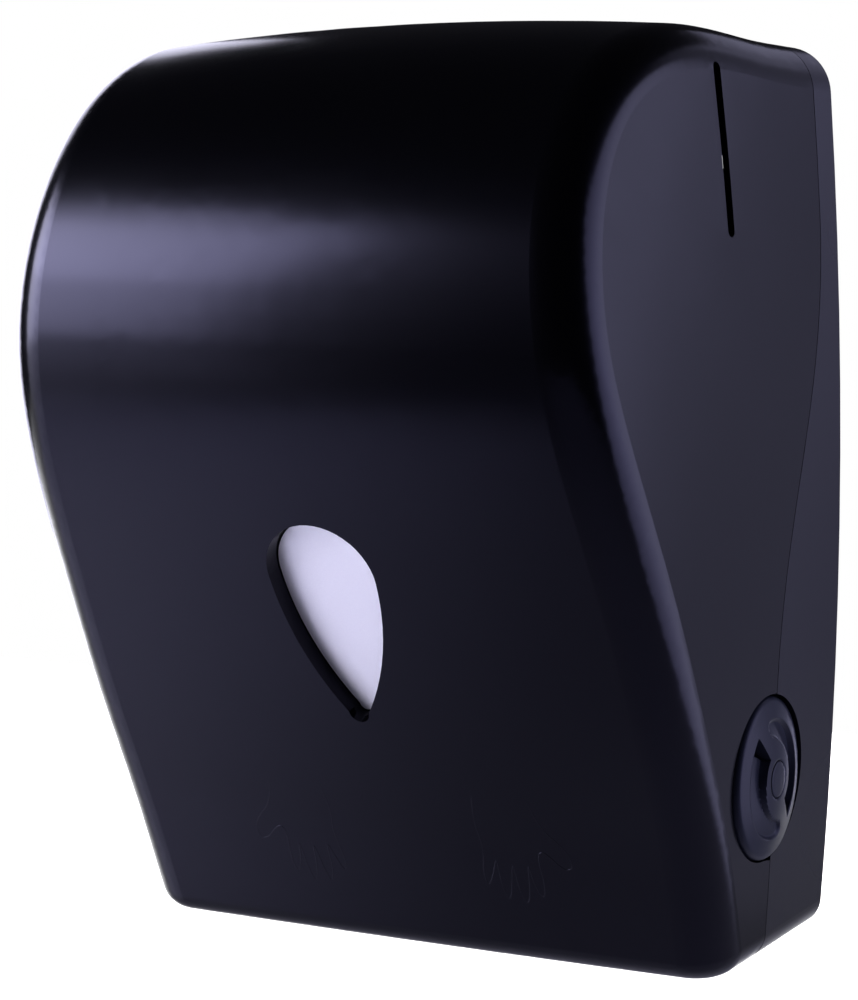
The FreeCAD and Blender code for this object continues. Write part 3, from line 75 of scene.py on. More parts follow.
# %% [markdown]
# ## Camera
#
# A product photograph is taken from a little to the right of the object and slightly above its
# middle, with a long lens so that upright edges stay nearly parallel. The place, the lens and
# the small shift below come from matching the outline of the body to the photograph.
# The shift moves the picture on the film without turning the camera.

# %% Camera
CAMERA_PLACE = (0.4682, -0.9145, 0.0771)
CAMERA_DIP = 0.132
CAMERA_TURN = 0.448

scene = bpy.context.scene
scene.view_settings.view_transform = "Standard"
camera_data = bpy.data.cameras.new("photo_camera")
camera_data.sensor_width = 36.0
camera_data.lens = 84.5
camera_data.shift_x = -0.1592
camera_data.shift_y = 0.0783
camera = bpy.data.objects.new("photo_camera", camera_data)
camera.location = CAMERA_PLACE
camera.rotation_euler = (math.pi / 2 - CAMERA_DIP, 0.0, CAMERA_TURN)
scene.collection.objects.link(camera)
scene.camera = camera
print("lens", camera_data.lens, "mm at", [round(value, 3) for value in camera.location])

# %% [markdown]
# ## Floor and surroundings
#
# Dark glossy plastic shows hardly any colour of its own: it shows what it mirrors. So the floor
# below is pale and everything else is dim. Only the camera itself sees a white background.

# %% Floor
FLOOR_LEVEL = -0.75
FLOOR_HALF = 3.0

floor_mesh = bpy.data.meshes.new("studio_floor")
bm = bmesh.new()
bmesh.ops.create_grid(bm, x_segments=1, y_segments=1, size=FLOOR_HALF)
bmesh.ops.translate(bm, verts=bm.verts, vec=(0.0, 0.0, FLOOR_LEVEL))
bm.to_mesh(floor_mesh)
bm.free()
studio_floor = bpy.data.objects.new("studio_floor", floor_mesh)
scene.collection.objects.link(studio_floor)

# %% Surroundings
WHITE = (1.0, 1.0, 1.0)
DUSK = (0.80, 0.79, 1.0)

world = bpy.data.worlds.new("studio")
scene.world = world
world.use_nodes = True
world_tree = world.node_tree
dim = world_tree.nodes["Background"]
dim.inputs["Color"].default_value = (*DUSK, 1.0)
dim.inputs["Strength"].default_value = 0.02
pale = world_tree.nodes.new("ShaderNodeBackground")
pale.inputs["Color"].default_value = (*WHITE, 1.0)
ray = world_tree.nodes.new("ShaderNodeLightPath")
choose = world_tree.nodes.new("ShaderNodeMixShader")
world_tree.links.new(ray.outputs["Is Camera Ray"], choose.inputs[0])
world_tree.links.new(dim.outputs[0], choose.inputs[1])
world_tree.links.new(pale.outputs[0], choose.inputs[2])
world_tree.links.new(choose.outputs[0], world_tree.nodes["World Output"].inputs["Surface"])

# %% [markdown]
# ## Light
#
# Three soft panels lie over one another to the front left. The bulge of the cover mirrors them
# as one bright patch, which fades out because the panels differ in height. The flank mirrors
# the panels to the right and behind, and the others light the left side and the back. Four
# lamps light only the floor, and the strong one at the back turns it white in the picture.

# %% Lamps
LAVENDER = (0.82, 0.81, 1.0)
FLANK_TINT = (0.70, 0.69, 1.0)
FLOOR_TINT = (0.74, 0.73, 1.0)
FLANK_AIM = (0.13, -0.12, 0.0)
FRONT_AIM = (-0.06, -0.20, 0.08)


def add_lamp(name, kind, power, place, aim, colour):
    """Lamp at a place that faces the point it aims at."""
    light = bpy.data.lights.new(name, kind)
    light.energy = power
    light.color = colour
    lamp = bpy.data.objects.new(name, light)
    lamp.location = place
    lamp.rotation_euler = (Vector(aim) - Vector(place)).to_track_quat("-Z", "Y").to_euler()
    scene.collection.objects.link(lamp)
    return light


def add_panel(name, power, azimuth, elevation, distance, width, height, colour, spread):
    """Soft panel in a direction from the cover; azimuth 0 is the front and 90 the right side."""
    turn = math.radians(azimuth)
    rise = math.radians(elevation)
    away = Vector((math.sin(turn) * math.cos(rise), -math.cos(turn) * math.cos(rise), math.sin(rise)))
    aim = Vector(FLANK_AIM if azimuth > 0 else FRONT_AIM)
    light = add_lamp(name, "AREA", power, aim + away * distance, aim, colour)
    light.shape = "RECTANGLE"
    light.size = width
    light.size_y = height
    light.spread = math.radians(spread)


def add_floor_spot(name, power, x, y, height, angle, blend, colour=WHITE):
    """Lamp that only lights the floor below it."""
    light = add_lamp(name, "SPOT", power, (x, y, FLOOR_LEVEL + height), (x, y, FLOOR_LEVEL), colour)
    light.spot_size = math.radians(angle)
    light.spot_blend = blend


# %% Panels
KEY_PANELS = (("key_core", 1.5, 21, 0.42), ("key_middle", 5.5, 13.5, 1.0), ("key_veil", 3.9, 4, 1.75))
KEY_AZIMUTH = -56.5
KEY_DISTANCE = 1.35
KEY_WIDTH = 1.14
KEY_SPREAD = 70
WIDE_SPREAD = 100

for name, power, elevation, height in KEY_PANELS:
    add_panel(name, power, KEY_AZIMUTH, elevation, KEY_DISTANCE, KEY_WIDTH, height, LAVENDER, KEY_SPREAD)
# Watts, then azimuth and elevation in degrees, then distance, width and height in metres.
add_panel("side_panel", 7.2, 118, 2, 1.44, 1.31, 1.7, FLANK_TINT, WIDE_SPREAD)
add_panel("rear_panel", 0.48, 151, 6, 1.70, 0.54, 2.1, FLANK_TINT, WIDE_SPREAD)
add_panel("back_panel", 0.28, 173, 28, 1.70, 0.8, 0.5, FLANK_TINT, WIDE_SPREAD)
add_panel("behind_panel", 6.0, 190, -4, 2.0, 1.0, 1.0, FLANK_TINT, WIDE_SPREAD)
add_panel("left_panel", 4.0, -128, 2, 1.6, 1.0, 1.5, LAVENDER, WIDE_SPREAD)

# %% Floor lamps
# Watts, then the place on the floor and the height above it in metres, then the cone in degrees.
add_floor_spot("right_floor_lamp", 60.0, 1.6, -1.8, 2.2, 100, 0.6, FLOOR_TINT)
add_floor_spot("back_floor_lamp", 900.0, -1.9, 2.4, 2.4, 96, 0.3)
add_floor_spot("front_floor_lamp", 178.0, -1.15, -0.72, 1.5, 66, 0.9, FLOOR_TINT)
add_floor_spot("left_floor_lamp", 260.0, -2.5, 0.1, 2.2, 60, 0.9)

# %% [markdown]
# ## A small language for finishes
#
# A finish is a node tree. Wiring nodes by hand hides the idea behind the wires, so one small
# class wraps a socket and lets Python's own signs add the Math nodes. A second class holds the
# material, and one method adds every other kind of node.

# %% Shader language
class Shade:
    """One output of a shader node, with sums and products that add their own Math nodes."""

    def __init__(self, finish, output):
        self.finish = finish
        self.output = output

    def math(self, operation, *values):
        """A Math node fed with links or plain values."""
        return self.finish.add("ShaderNodeMath", {"operation": operation}, dict(enumerate(values)))

    def __add__(self, other):
        return self.math("ADD", self, other)

    def __mul__(self, other):
        return self.math("MULTIPLY", self, other)

    __radd__ = __add__
    __rmul__ = __mul__


# %% Finishes
# A noise texture of scale 1 has lumps about half a metre across.
LUMP = 0.5
EVEN = (1.0, 1.0, 1.0)
# The Mix node has sockets for every kind of value. These are the numbers of those for colours.
MIX_SHARE, MIX_FIRST, MIX_SECOND = 0, 6, 7
MIX_COLOUR = 2
FINISHES = {}


class Finish:
    """A material for one kind of surface, with its main shader and a way to add nodes."""

    def __init__(self, name, colour, roughness, metallic=0.0, specular=0.5):
        self.material = bpy.data.materials.new("look_" + name)
        FINISHES[name] = self.material
        self.material.use_nodes = True
        self.material.diffuse_color = (*colour, 1.0)
        self.tree = self.material.node_tree
        self.shader = self.tree.nodes["Principled BSDF"]
        self.feed("Base Color", (*colour, 1.0))
        self.feed("Roughness", roughness)
        self.feed("Metallic", metallic)
        self.feed("Specular IOR Level", specular)
        self.place = self.add("ShaderNodeTexCoord", {}, {}, "Object")

    def add(self, kind, settings, values, output=0):
        """One node: its settings first, then the values or links of its sockets."""
        node = self.tree.nodes.new(kind)
        for name, value in settings.items():
            setattr(node, name, value)
        for name, value in values.items():
            self.join(node.inputs[name], value)
        return Shade(self, node.outputs[output])

    def join(self, socket, value):
        """A link or a plain value for a socket."""
        if isinstance(value, Shade):
            self.tree.links.new(value.output, socket)
        else:
            socket.default_value = value

    def feed(self, name, value):
        """A link or a plain value for a socket of the main shader."""
        self.join(self.shader.inputs[name], value)

    def noise(self, size, detail, stretch=EVEN):
        """Cloudy pattern from 0 to 1 whose lumps are about size metres across."""
        place = self.add("ShaderNodeMapping", {}, {"Vector": self.place, "Scale": stretch})
        return self.add("ShaderNodeTexNoise", {}, {"Vector": place, "Scale": LUMP / size, "Detail": detail})

    def blend(self, share, first, second):
        """Colour between two colours."""
        settings = {"data_type": "RGBA", "clamp_factor": True}
        values = {MIX_SHARE: share, MIX_FIRST: (*first, 1.0), MIX_SECOND: (*second, 1.0)}
        return self.add("ShaderNodeMix", settings, values, MIX_COLOUR)

    def relief(self, height, depth):
        """Surface relief of a given depth in metres from a pattern from 0 to 1."""
        bump = self.add("ShaderNodeBump", {}, {"Height": height, "Distance": depth}, "Normal")
        self.feed("Normal", bump)


# %% [markdown]
# ## Moulded plastics
#
# The cover is moulded in dark ABS from a polished tool. Close up such a skin is never a mirror:
# the tool leaves a very shallow waviness, and handling leaves faint changes in gloss. The housing
# comes from a tool with a fine spark-eroded grain, which scatters the light and looks lighter.
# Both are nearly black, so their look comes from roughness and relief and hardly from colour.
# What the cover, the housing and the knob mirror is tinted slightly violet.

# %% Plastics
PATCH_SIZE = 0.06
PATCH_GLOSS = 0.06
GRAIN_DARK = 0.90
GRAIN_LIGHT = 1.12
VIOLET_SHEEN = (0.68, 0.67, 1.0, 1.0)


def shaded(colour, share):
    """The colour made darker, or lighter where the share is above 1."""
    return tuple(value * share for value in colour)


def moulded(name, colour, roughness, grain, depth, specular=0.5):
    """Moulded plastic: a grain of one size, and a slow change of gloss over the surface."""
    finish = Finish(name, colour, roughness, specular=specular)
    slow = finish.noise(PATCH_SIZE, 1.0)
    fine = finish.noise(grain, 3.0)
    finish.feed("Roughness", slow * PATCH_GLOSS + (roughness - PATCH_GLOSS / 2))
    finish.feed("Base Color", finish.blend(fine, shaded(colour, GRAIN_DARK), shaded(colour, GRAIN_LIGHT)))
    finish.relief(fine, depth)
    return finish


# Colour and roughness, then the grain's size and depth in metres.
DARK_PLASTICS = (
    moulded("cover_plastic", (0.0008, 0.0008, 0.0012), 0.19, 0.0009, 0.000003, 0.22),
    moulded("housing_plastic", (0.0010, 0.0010, 0.0014), 0.28, 0.0004, 0.000006, 0.30),
    moulded("knob_plastic", (0.016, 0.018, 0.030), 0.32, 0.0006, 0.000004, 0.12),
)
for dark_plastic in DARK_PLASTICS:
    dark_plastic.feed("Specular Tint", VIOLET_SHEEN)
moulded("inner_plastic", (0.030, 0.030, 0.034), 0.5, 0.0005, 0.00002)
moulded("drum_plastic", (0.09, 0.095, 0.105), 0.42, 0.0005, 0.00002)
moulded("hub_plastic", (0.02, 0.06, 0.18), 0.38, 0.0005, 0.00002)
moulded("white_acetal", (0.78, 0.78, 0.74), 0.40, 0.0006, 0.00001)
moulded("grip_rubber", (0.012, 0.012, 0.012), 0.78, 0.0003, 0.00004, 0.3)


# %% [markdown]
# ## Metals
#
# Zinc-plated sheet steel has a mottled, slightly blue skin. Turned pins and shafts carry fine
# lines round their axis, which lies along X here, and the blade is ground across its edge.
# Stretching a noise pattern across X gives both kinds of line. The spring's wire and the cast
# lock have none.

# %% Metals
ROUND_THE_AXIS = (1.0, 0.04, 0.04)
ACROSS_THE_EDGE = (1.0, 0.03, 0.03)
LINE_GLOSS = 0.18
MOTTLE_SIZE = 0.008
MOTTLE_GLOSS = 0.10
MOTTLE_DARK = 0.82


def metal(name, colour, roughness, stretch, line, depth):
    """Metal with fine lines along the directions in which the pattern is stretched."""
    finish = Finish(name, colour, roughness, metallic=1.0)
    lines = finish.noise(line, 2.0, stretch)
    mottle = finish.noise(MOTTLE_SIZE, 3.0)
    gloss = lines * LINE_GLOSS + mottle * MOTTLE_GLOSS
    finish.feed("Roughness", gloss + (roughness - (LINE_GLOSS + MOTTLE_GLOSS) / 2))
    finish.feed("Base Color", finish.blend(mottle, shaded(colour, MOTTLE_DARK), colour))
    finish.relief(lines, depth)


# Colour and roughness, then the stretch, then the lines' width and depth in metres.
metal("bright_steel", (0.62, 0.62, 0.63), 0.26, ROUND_THE_AXIS, 0.0003, 0.000004)
metal("zinc_steel", (0.52, 0.54, 0.57), 0.38, EVEN, 0.0012, 0.000006)
metal("blade_steel", (0.66, 0.67, 0.70), 0.22, ACROSS_THE_EDGE, 0.0002, 0.000004)
metal("spring_steel", (0.45, 0.45, 0.46), 0.30, EVEN, 0.0004, 0.000004)
metal("lock_zinc", (0.66, 0.66, 0.67), 0.20, EVEN, 0.0010, 0.000004)


# %% [markdown]
# ## Inlay
#
# The drop in the front holds a thin plate with a satin silver lacquer. The flakes of the lacquer
# lie flat, so it is bright where it mirrors the light panels and greyish elsewhere.

# %% Inlay finish
FLAKE_SIZE = 0.00025
FLAKE_DEPTH = 0.000004
FLAKE_GLOSS = 0.16
FLAKE_DARK = (0.90, 0.885, 0.93)
FLAKE_LIGHT = (0.97, 0.96, 0.98)
CLOUD_SIZE = 0.03
CLOUD_GLOSS = 0.10
LEAST_ROUGHNESS = 0.29

inlay_silver = Finish("inlay_silver", (0.82, 0.81, 0.88), 0.40, metallic=0.6)
flakes = inlay_silver.noise(FLAKE_SIZE, 1.0)
clouds = inlay_silver.noise(CLOUD_SIZE, 1.0)
inlay_silver.feed("Roughness", flakes * FLAKE_GLOSS + clouds * CLOUD_GLOSS + LEAST_ROUGHNESS)
inlay_silver.feed("Base Color", inlay_silver.blend(flakes, FLAKE_DARK, FLAKE_LIGHT))
inlay_silver.relief(flakes, FLAKE_DEPTH)

# %% [markdown]
# ## Floor finish
#
# A seamless studio floor is matt and nearly white.

# %% Floor finish
floor_paint = Finish("floor_paint", (0.86, 0.86, 0.86), 0.9, specular=0.1)
floor_mesh.materials.append(floor_paint.material)

# %% [markdown]
# ## Dress the CAD pieces
#
# The record names one finish for each piece. The CAD meshes keep their own surface directions,
# so they only need their slots filled.

# %% Dress the CAD pieces
SLOTS = {part["node"]: part["material_slot"] for part in frame["record"]["subparts"]}
for node, slot in SLOTS.items():
    for number in range(len(NODES[node].data.materials)):
        NODES[node].data.materials[number] = FINISHES[slot]
print("dressed", len(SLOTS), "pieces")

# %% [markdown]
# ## A helper for pieces that take a CAD piece's place
#
# Some CAD pieces are plainer than the real thing. A finer piece then stands in for each of them:
# it moves with the same body, takes the same finish, and the CAD piece is no longer shown.

# %% Stand-ins
WELD = 0.00001


def to_mesh(name, bm):
    """Mesh with what a bmesh holds. The bmesh is freed."""
    mesh = bpy.data.meshes.new(name)
    bm.to_mesh(mesh)
    bm.free()
    return mesh


def new_piece(name, mesh, slot):
    """Smooth object for a mesh, with the finish of a slot."""
    mesh.shade_smooth()
    mesh.materials.append(FINISHES[slot])
    piece = bpy.data.objects.new(name, mesh)
    scene.collection.objects.link(piece)
    print(name, len(mesh.polygons), "faces")
    return piece


def stand_in(name, mesh, node, crease):
    """Finer piece in the place of a CAD node. Edges that bend by more than crease degrees stay sharp."""
    piece = new_piece(name, mesh, SLOTS[node])
    mesh.set_sharp_from_angle(angle=math.radians(crease))
    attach(piece, NODES[node]["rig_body"])
    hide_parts(node)


def spin_about(points, axis_place, rays):
    """Closed shell from a profile of (radius, x) points turned round an axis along X."""
    bm = bmesh.new()
    corners = [bm.verts.new((x, axis_place.y + radius, axis_place.z)) for radius, x in points]
    edges = [bm.edges.new(pair) for pair in zip(corners, corners[1:])]
    bmesh.ops.spin(bm, geom=corners + edges, cent=(0.0, axis_place.y, axis_place.z), axis=(1, 0, 0),
                   angle=2 * math.pi, steps=rays, use_merge=True)
    bmesh.ops.remove_doubles(bm, verts=bm.verts, dist=WELD)
    bmesh.ops.recalc_face_normals(bm, faces=bm.faces)
    return bm


# %% [markdown]
# ## Feed knob
#
# The knob is a low dome with a rounded rim. Two comma-shaped finger hollows are sunk into it,
# one the other's half-turn twin: each starts deep at a step and runs out along a ramp to a
# rounded end. Such a face is hard to cut but easy to press. A profile is spun into a net of
# rings and rays, and each point of the net is then sunk by the depth that the hollow has there.

# %% Knob measures
knob_low, knob_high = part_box("feed_knob")
KNOB_AXIS = (knob_low + knob_high) / 2
KNOB_RADIUS = (knob_high.y - knob_low.y) / 2
KNOB_RIM = knob_high.x
KNOB_BACK = KNOB_RIM - 15.0 * MM
KNOB_ROOF = KNOB_RIM - 9.0 * MM
KNOB_WALL = 2.5 * MM
KNOB_DOME = 4.3 * MM
KNOB_EDGE = 2.6 * MM
KNOB_RAYS = 240
RING_STEP = 0.5 * MM
HUB_RADIUS = 8.0 * MM
BORE_RADIUS = 4.0 * MM
BORE_DEPTH = 3.0 * MM
BUTTON_RADIUS = 7.2 * MM
BUTTON_GROOVE = 0.45 * MM
BUTTON_DEPTH = 2.0 * MM
SEAT_BEVEL = 0.25 * MM
EDGE_TURNS = [math.radians(turn) for turn in range(15, 91, 15)]
print("knob axis", [round(value, 4) for value in KNOB_AXIS], "radius", round(KNOB_RADIUS, 4))


def dome(radius):
    """Place along X of the domed face at a radius."""
    return KNOB_RIM + KNOB_DOME * (1.0 - (radius / KNOB_RADIUS) ** 2)


def rounded_rim(radius, edge, top):
    """Quarter-round profile at the edge of a disc whose face reaches the given place there."""
    out = radius - edge
    low = top - edge
    return [(out + edge * math.sin(turn), low + edge * math.cos(turn)) for turn in EDGE_TURNS]


# %% Knob profile
def knob_profile():
    """Knob from the button's seat over the face, the rim and the hollow back to the shaft's bore."""
    seat = BUTTON_RADIUS + BUTTON_GROOVE
    seat_floor = KNOB_RIM - BUTTON_DEPTH
    profile = [(0.0, seat_floor), (seat, seat_floor), (seat, dome(seat) - SEAT_BEVEL)]
    last = KNOB_RADIUS - KNOB_EDGE
    rings = int((last - seat) / RING_STEP)
    profile += [(seat + RING_STEP * ring, dome(seat + RING_STEP * ring)) for ring in range(1, rings)]
    profile += rounded_rim(KNOB_RADIUS, KNOB_EDGE, dome(last))
    inside = KNOB_RADIUS - KNOB_WALL
    profile += [(KNOB_RADIUS, KNOB_BACK), (inside, KNOB_BACK), (inside, KNOB_ROOF), (HUB_RADIUS, KNOB_ROOF)]
    bore_end = KNOB_BACK + BORE_DEPTH
    profile += [(HUB_RADIUS, knob_low.x), (BORE_RADIUS, knob_low.x), (BORE_RADIUS, bore_end), (0.0, bore_end)]
    return profile


# %% [markdown]
# ## Finger hollows
#
# Turns are in degrees past the step. A hollow lies between an inner and an outer radius, and the
# inner one grows along the ramp, so the hollow narrows. The short pocket at the step ends along a
# slanted line.

# %% Finger hollows
HOLLOW_START = 130.0
HOLLOW_LENGTH = 148.0
HOLLOW_INNER = 12.0 * MM
HOLLOW_OUTER = 23.5 * MM
HOLLOW_NARROWING = 7.6 * MM
NARROWING_START = 0.15
INNER_SOFTNESS = 0.35 * MM
OUTER_SOFTNESS = 0.9 * MM
HOLLOW_DEEP = 3.8 * MM
HOLLOW_SHALLOW = 1.2 * MM
POCKET_DEEP = 4.4 * MM
POCKET_LENGTH = 3.0
POCKET_SLANT_PER_MM = 1.2
SLOPE_BEFORE = 1.0
SLOPE_AFTER = 0.5
FACE_START = BUTTON_RADIUS + 0.6 * MM


def soft_step(value, start, end):
    """Smooth rise from 0 at start to 1 at end."""
    share = min(max((value - start) / (end - start), 0.0), 1.0)
    return share * share * (3.0 - 2.0 * share)


def hollow_depth(turn, radius):
    """Depth of one finger hollow at a turn in degrees past its step, and at a radius."""
    along = turn / HOLLOW_LENGTH
    inner = HOLLOW_INNER + HOLLOW_NARROWING * max(0.0, along - NARROWING_START) ** 2
    middle = (inner + HOLLOW_OUTER) / 2
    half = (HOLLOW_OUTER - inner) / 2
    past = math.radians(max(0.0, turn - HOLLOW_LENGTH)) * middle
    reach = math.hypot(radius - middle, past)
    softness = OUTER_SOFTNESS if radius > middle else INNER_SOFTNESS
    inside = 1.0 - soft_step(reach, half - softness, half + softness)
    ramp = HOLLOW_SHALLOW + (HOLLOW_DEEP - HOLLOW_SHALLOW) * max(0.0, 1.0 - along)
    pocket_end = POCKET_LENGTH + POCKET_SLANT_PER_MM * (radius - HOLLOW_INNER) / MM
    pocket = POCKET_DEEP * (1.0 - soft_step(turn, pocket_end - SLOPE_BEFORE, pocket_end + SLOPE_AFTER))
    return inside * (ramp + pocket)


# %% Knob
def press_hollows(bm):
    """Sinks the points of the knob's face into the two finger hollows."""
    for corner in bm.verts:
        across = corner.co.y - KNOB_AXIS.y
        up = corner.co.z - KNOB_AXIS.z
        radius = math.hypot(across, up)
        if corner.co.x < KNOB_RIM or radius < FACE_START:
            continue
        turn = math.degrees(math.atan2(up, across)) - HOLLOW_START
        corner.co.x -= hollow_depth(turn % 360.0, radius) + hollow_depth((turn + 180.0) % 360.0, radius)


knob_shell = spin_about(knob_profile(), KNOB_AXIS, KNOB_RAYS)
press_hollows(knob_shell)
stand_in("domed_knob", to_mesh("domed_knob", knob_shell), "feed_knob", crease=38)

# %% [markdown]
# ## Knob button
#
# A round button hides the screw that holds the knob on its shaft. It continues the dome, and a
# thin dark gap runs round it.

# %% Knob button
BUTTON_EDGE = 0.5 * MM
BUTTON_RINGS = 8
BUTTON_RAYS = 64

button_rings = [BUTTON_RADIUS * share / BUTTON_RINGS for share in range(BUTTON_RINGS)]
button_face = [(radius, dome(radius)) for radius in button_rings]
button_face += rounded_rim(BUTTON_RADIUS, BUTTON_EDGE, dome(BUTTON_RADIUS - BUTTON_EDGE))
button_back = [(BUTTON_RADIUS, KNOB_RIM - BUTTON_DEPTH), (0.0, KNOB_RIM - BUTTON_DEPTH)]
button_shell = spin_about(button_face + button_back, KNOB_AXIS, BUTTON_RAYS)
stand_in("knob_button", to_mesh("knob_button", button_shell), "knob_cap", crease=38)

# %% [markdown]
# ## Return spring
#
# The CAD piece only holds the spring's place. The real one is a coil of steel wire, drawn out a
# little, with a hook at each end that lies in the groove of its pin. One line is led round the
# first pin, along the coil and round the second pin, and is then given the wire's thickness.

# %% Return spring
WIRE_RADIUS = 0.5 * MM
COIL_RADIUS = 2.45 * MM
COIL_PITCH = 1.45 * MM
TURN_STEPS = 16
HOOK_TURNS = [math.radians(turn) for turn in range(-120, 170, 15)]
HOOK_GAP = 0.1 * MM
CRANK_GROOVE = 2.0 * MM
ANCHOR_GROOVE = 2.5 * MM
CRANK_TO_COIL = 7.0 * MM
ANCHOR_TO_COIL = 7.6 * MM
ALONG_X = Vector((1.0, 0.0, 0.0))


def middle_of(node):
    """Middle of a CAD node's box."""
    low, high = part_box(node)
    return (low + high) / 2


def hook(centre, groove, way, side):
    """Wire in a pin's groove, from its free end to the side where the coil is."""
    radius = groove + WIRE_RADIUS + HOOK_GAP
    return [centre - way * (radius * math.cos(turn)) + side * (radius * math.sin(turn))
            for turn in HOOK_TURNS]


def coil(start, end):
    """Wire of the coil, which opens from its axis and closes to it again over half a turn."""
    way = (end - start).normalized()
    side = way.cross(ALONG_X)
    steps = round((end - start).length / COIL_PITCH) * TURN_STEPS
    points = []
    for step in range(steps + 1):
        opening = min(1.0, step / (TURN_STEPS / 2), (steps - step) / (TURN_STEPS / 2))
        angle = 2 * math.pi * step / TURN_STEPS
        out = ALONG_X * math.cos(angle) + side * math.sin(angle)
        points.append(start.lerp(end, step / steps) + out * (COIL_RADIUS * opening))
    return points


def new_line(name, kind, points):
    """Curve with one spline of a kind along the points."""
    line = bpy.data.curves.new(name, "CURVE")
    line.dimensions = "3D"
    spline = line.splines.new(kind)
    spline.points.add(len(points) - 1)
    for place, point in zip(spline.points, points):
        place.co = (*point, 1.0)
    return line


def mesh_of(line):
    """Mesh of a curve. The curve is removed."""
    drawn = bpy.data.objects.new(line.name, line)
    mesh = bpy.data.meshes.new_from_object(drawn)
    bpy.data.objects.remove(drawn)
    bpy.data.curves.remove(line)
    return mesh


def wire(name, points, radius):
    """Round wire along a line of points, as a mesh."""
    line = new_line(name, "POLY", points)
    line.bevel_depth = radius
    line.bevel_resolution = 2
    line.use_fill_caps = True
    return mesh_of(line)


spring_x = middle_of("return_spring").x
crank_end = Vector((spring_x, *middle_of("crank_pin").yz))
anchor_end = Vector((spring_x, *middle_of("spring_anchor_pin").yz))
spring_way = (anchor_end - crank_end).normalized()
spring_side = spring_way.cross(ALONG_X)
spring_line = hook(crank_end, CRANK_GROOVE, spring_way, spring_side)
spring_line += coil(crank_end + spring_way * CRANK_TO_COIL, anchor_end - spring_way * ANCHOR_TO_COIL)
spring_line += reversed(hook(anchor_end, ANCHOR_GROOVE, -spring_way, spring_side))
stand_in("coiled_spring", wire("coiled_spring", spring_line, WIRE_RADIUS), "return_spring", crease=60)

# %% [markdown]
# ## Hand marks
#
# The lower front carries two very faint raised hands, the common sign for pulling with both
# hands. One outline is drawn flat as a smooth spline, twice, once mirrored. Rays shot at the
# cover lay its points on the slanted front, and the line is sunk until only its crest is proud.

# %% Hand marks
HAND_OUTLINE = [(-10, 23), (-12, 12), (-20, 4), (-22, -4), (-18, -6), (-12, 2), (-9, 0),
                (-10, -14), (-8.5, -20), (-6, -14), (-5, -3), (-4, -17), (-2, -24), (0, -17), (0.5, -3),
                (2.5, -16), (4.5, -23), (6.5, -16), (6, -2), (9, -12), (11.5, -17), (12.5, -11),
                (10, 2), (12, 12), (10, 23)]
# Each hand's x and z in millimetres, and -1 where it is mirrored.
HAND_PLACES = (("left_hand_mark", -41.0, -152.0, 1), ("right_hand_mark", 53.0, -150.0, -1))
HAND_STRETCH = 1.2
MARK_RADIUS = 0.35 * MM
MARK_PROUD = 0.12 * MM
RAY_START = -0.4


def smooth_outline(corners):
    """Points along a smooth open spline in the XZ plane that follows the corners."""
    line = new_line("outline", "NURBS", [(x, 0.0, z) for x, z in corners])
    spline = line.splines[0]
    spline.order_u = 3
    spline.use_endpoint_u = True
    spline.resolution_u = 6
    mesh = mesh_of(line)
    points = [corner.co.copy() for corner in mesh.vertices]
    bpy.data.meshes.remove(mesh)
    return points


def laid_on_cover(point):
    """The point's place on the cover's front, sunk so that only the crest of a mark stands proud."""
    place, out = NODES["cover_shell"].ray_cast((point.x, RAY_START, point.z), (0.0, 1.0, 0.0))[1:3]
    return place - out * (MARK_RADIUS - MARK_PROUD)


for name, x, z, side in HAND_PLACES:
    corners = [((x + side * HAND_STRETCH * across) * MM, (z + up) * MM) for across, up in HAND_OUTLINE]
    laid = [laid_on_cover(point) for point in smooth_outline(corners)]
    piece = new_piece(name, wire(name, laid, MARK_RADIUS), "cover_plastic")
    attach(piece, "cover")

# %% [markdown]
# ## Screws
#
# The screws that hold the side frames and the left arm have low round heads with a cross for
# the driver. The cross is a grid of nine squares without its corners. A bridge joins its outline
# to the round edge, and the cross is then pushed down.

# %% Screws
HEAD_RADIUS = 4.0 * MM
HEAD_HEIGHT = 2.4 * MM
HEAD_SIDES = 24
STEM_RADIUS = 2.0 * MM
CROSS_HALF = 2.2 * MM
CROSS_SLOT = 0.45 * MM
CROSS_DEPTH = 1.5 * MM
FLAT_SHARE = 0.72
# The rings below the flat top, as shares of the head's radius and of its height.
HEAD_RINGS = ((0.92, 0.72), (1.0, 0.35), (1.0, 0.0), (STEM_RADIUS / HEAD_RADIUS, 0.0))
FIRST_TURN = 20
NEXT_TURN = 37


def cross_outline(bm):
    """Flat cross in the XY plane, made of a grid without its corner squares."""
    grid = bmesh.ops.create_grid(bm, x_segments=3, y_segments=3, size=CROSS_HALF)["verts"]
    for corner in grid:
        for axis in (0, 1):
            if abs(corner.co[axis]) < CROSS_HALF / 2:
                corner.co[axis] = math.copysign(CROSS_SLOT, corner.co[axis])
    squares = [face for face in bm.faces
               if min(abs(face.calc_center_median().x), abs(face.calc_center_median().y)) > CROSS_SLOT]
    bmesh.ops.delete(bm, geom=squares, context="FACES")


def widen(bm, circle, radius, height):
    """Next ring of a round piece: the last ring's edges drawn out to a radius and a height."""
    drawn = bmesh.ops.extrude_edge_only(bm, edges=circle)["geom"]
    for corner in [item for item in drawn if isinstance(item, bmesh.types.BMVert)]:
        flat = corner.co.xy.normalized() * radius
        corner.co = (flat.x, flat.y, height)
    return [item for item in drawn if isinstance(item, bmesh.types.BMEdge)]


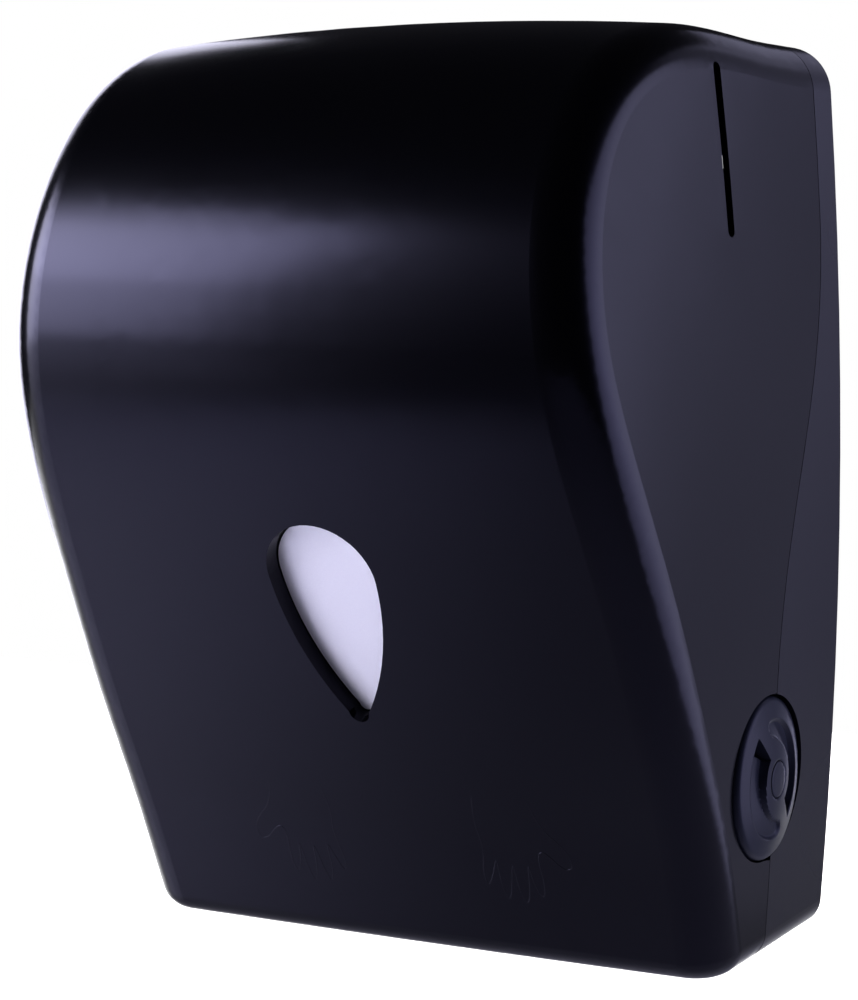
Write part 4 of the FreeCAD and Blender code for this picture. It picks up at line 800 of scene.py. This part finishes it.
def screw(stem_length):
    """Screw with its head's seat in the XY plane, the head above it and the stem below."""
    bm = bmesh.new()
    cross_outline(bm)
    recess = list(bm.faces)
    outline = [edge for edge in bm.edges if edge.is_boundary]
    bmesh.ops.translate(bm, verts=bm.verts, vec=(0.0, 0.0, HEAD_HEIGHT))
    rim = bmesh.ops.create_circle(bm, segments=HEAD_SIDES, radius=HEAD_RADIUS * FLAT_SHARE)["verts"]
    bmesh.ops.translate(bm, verts=rim, vec=(0.0, 0.0, HEAD_HEIGHT))
    circle = list({edge for corner in rim for edge in corner.link_edges})
    bmesh.ops.bridge_loops(bm, edges=outline + circle)
    for radius, height in HEAD_RINGS:
        circle = widen(bm, circle, HEAD_RADIUS * radius, HEAD_HEIGHT * height)
    circle = widen(bm, circle, STEM_RADIUS, -stem_length)
    bmesh.ops.contextual_create(bm, geom=circle)
    sunk = bmesh.ops.extrude_face_region(bm, geom=recess)["geom"]
    floor = [item for item in sunk if isinstance(item, bmesh.types.BMVert)]
    bmesh.ops.translate(bm, verts=floor, vec=(0.0, 0.0, -CROSS_DEPTH))
    bmesh.ops.recalc_face_normals(bm, faces=bm.faces)
    return bm


def screws(name, node, places, stem_length):
    """A screw at each (x, y, z) place, with its head towards the front."""
    everything = bmesh.new()
    for number, place in enumerate(places):
        bm = screw(stem_length)
        turn = Matrix.Rotation(math.radians(FIRST_TURN + NEXT_TURN * number), 4, "Z")
        bm.transform(Matrix.Translation(place) @ Matrix.Rotation(math.pi / 2, 4, "X") @ turn)
        single = to_mesh(name, bm)
        everything.from_mesh(single)
        bpy.data.meshes.remove(single)
    stand_in(name, to_mesh(name, everything), node, crease=40)


def screw_places(node):
    """Places of the seats of a node's screw heads, two sides wide or one, and the stems' length."""
    low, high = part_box(node)
    seat = low.y + HEAD_HEIGHT
    sides = sorted({round(low.x + HEAD_RADIUS, 5), round(high.x - HEAD_RADIUS, 5)})
    heights = (low.z + HEAD_RADIUS, high.z - HEAD_RADIUS)
    return [Vector((x, seat, z)) for x in sides for z in heights], high.y - seat


for name, node in (("cross_frame_screws", "frame_screws"), ("cross_arm_screws", "arm_screws")):
    places, stem_length = screw_places(node)
    screws(name, node, places, stem_length)
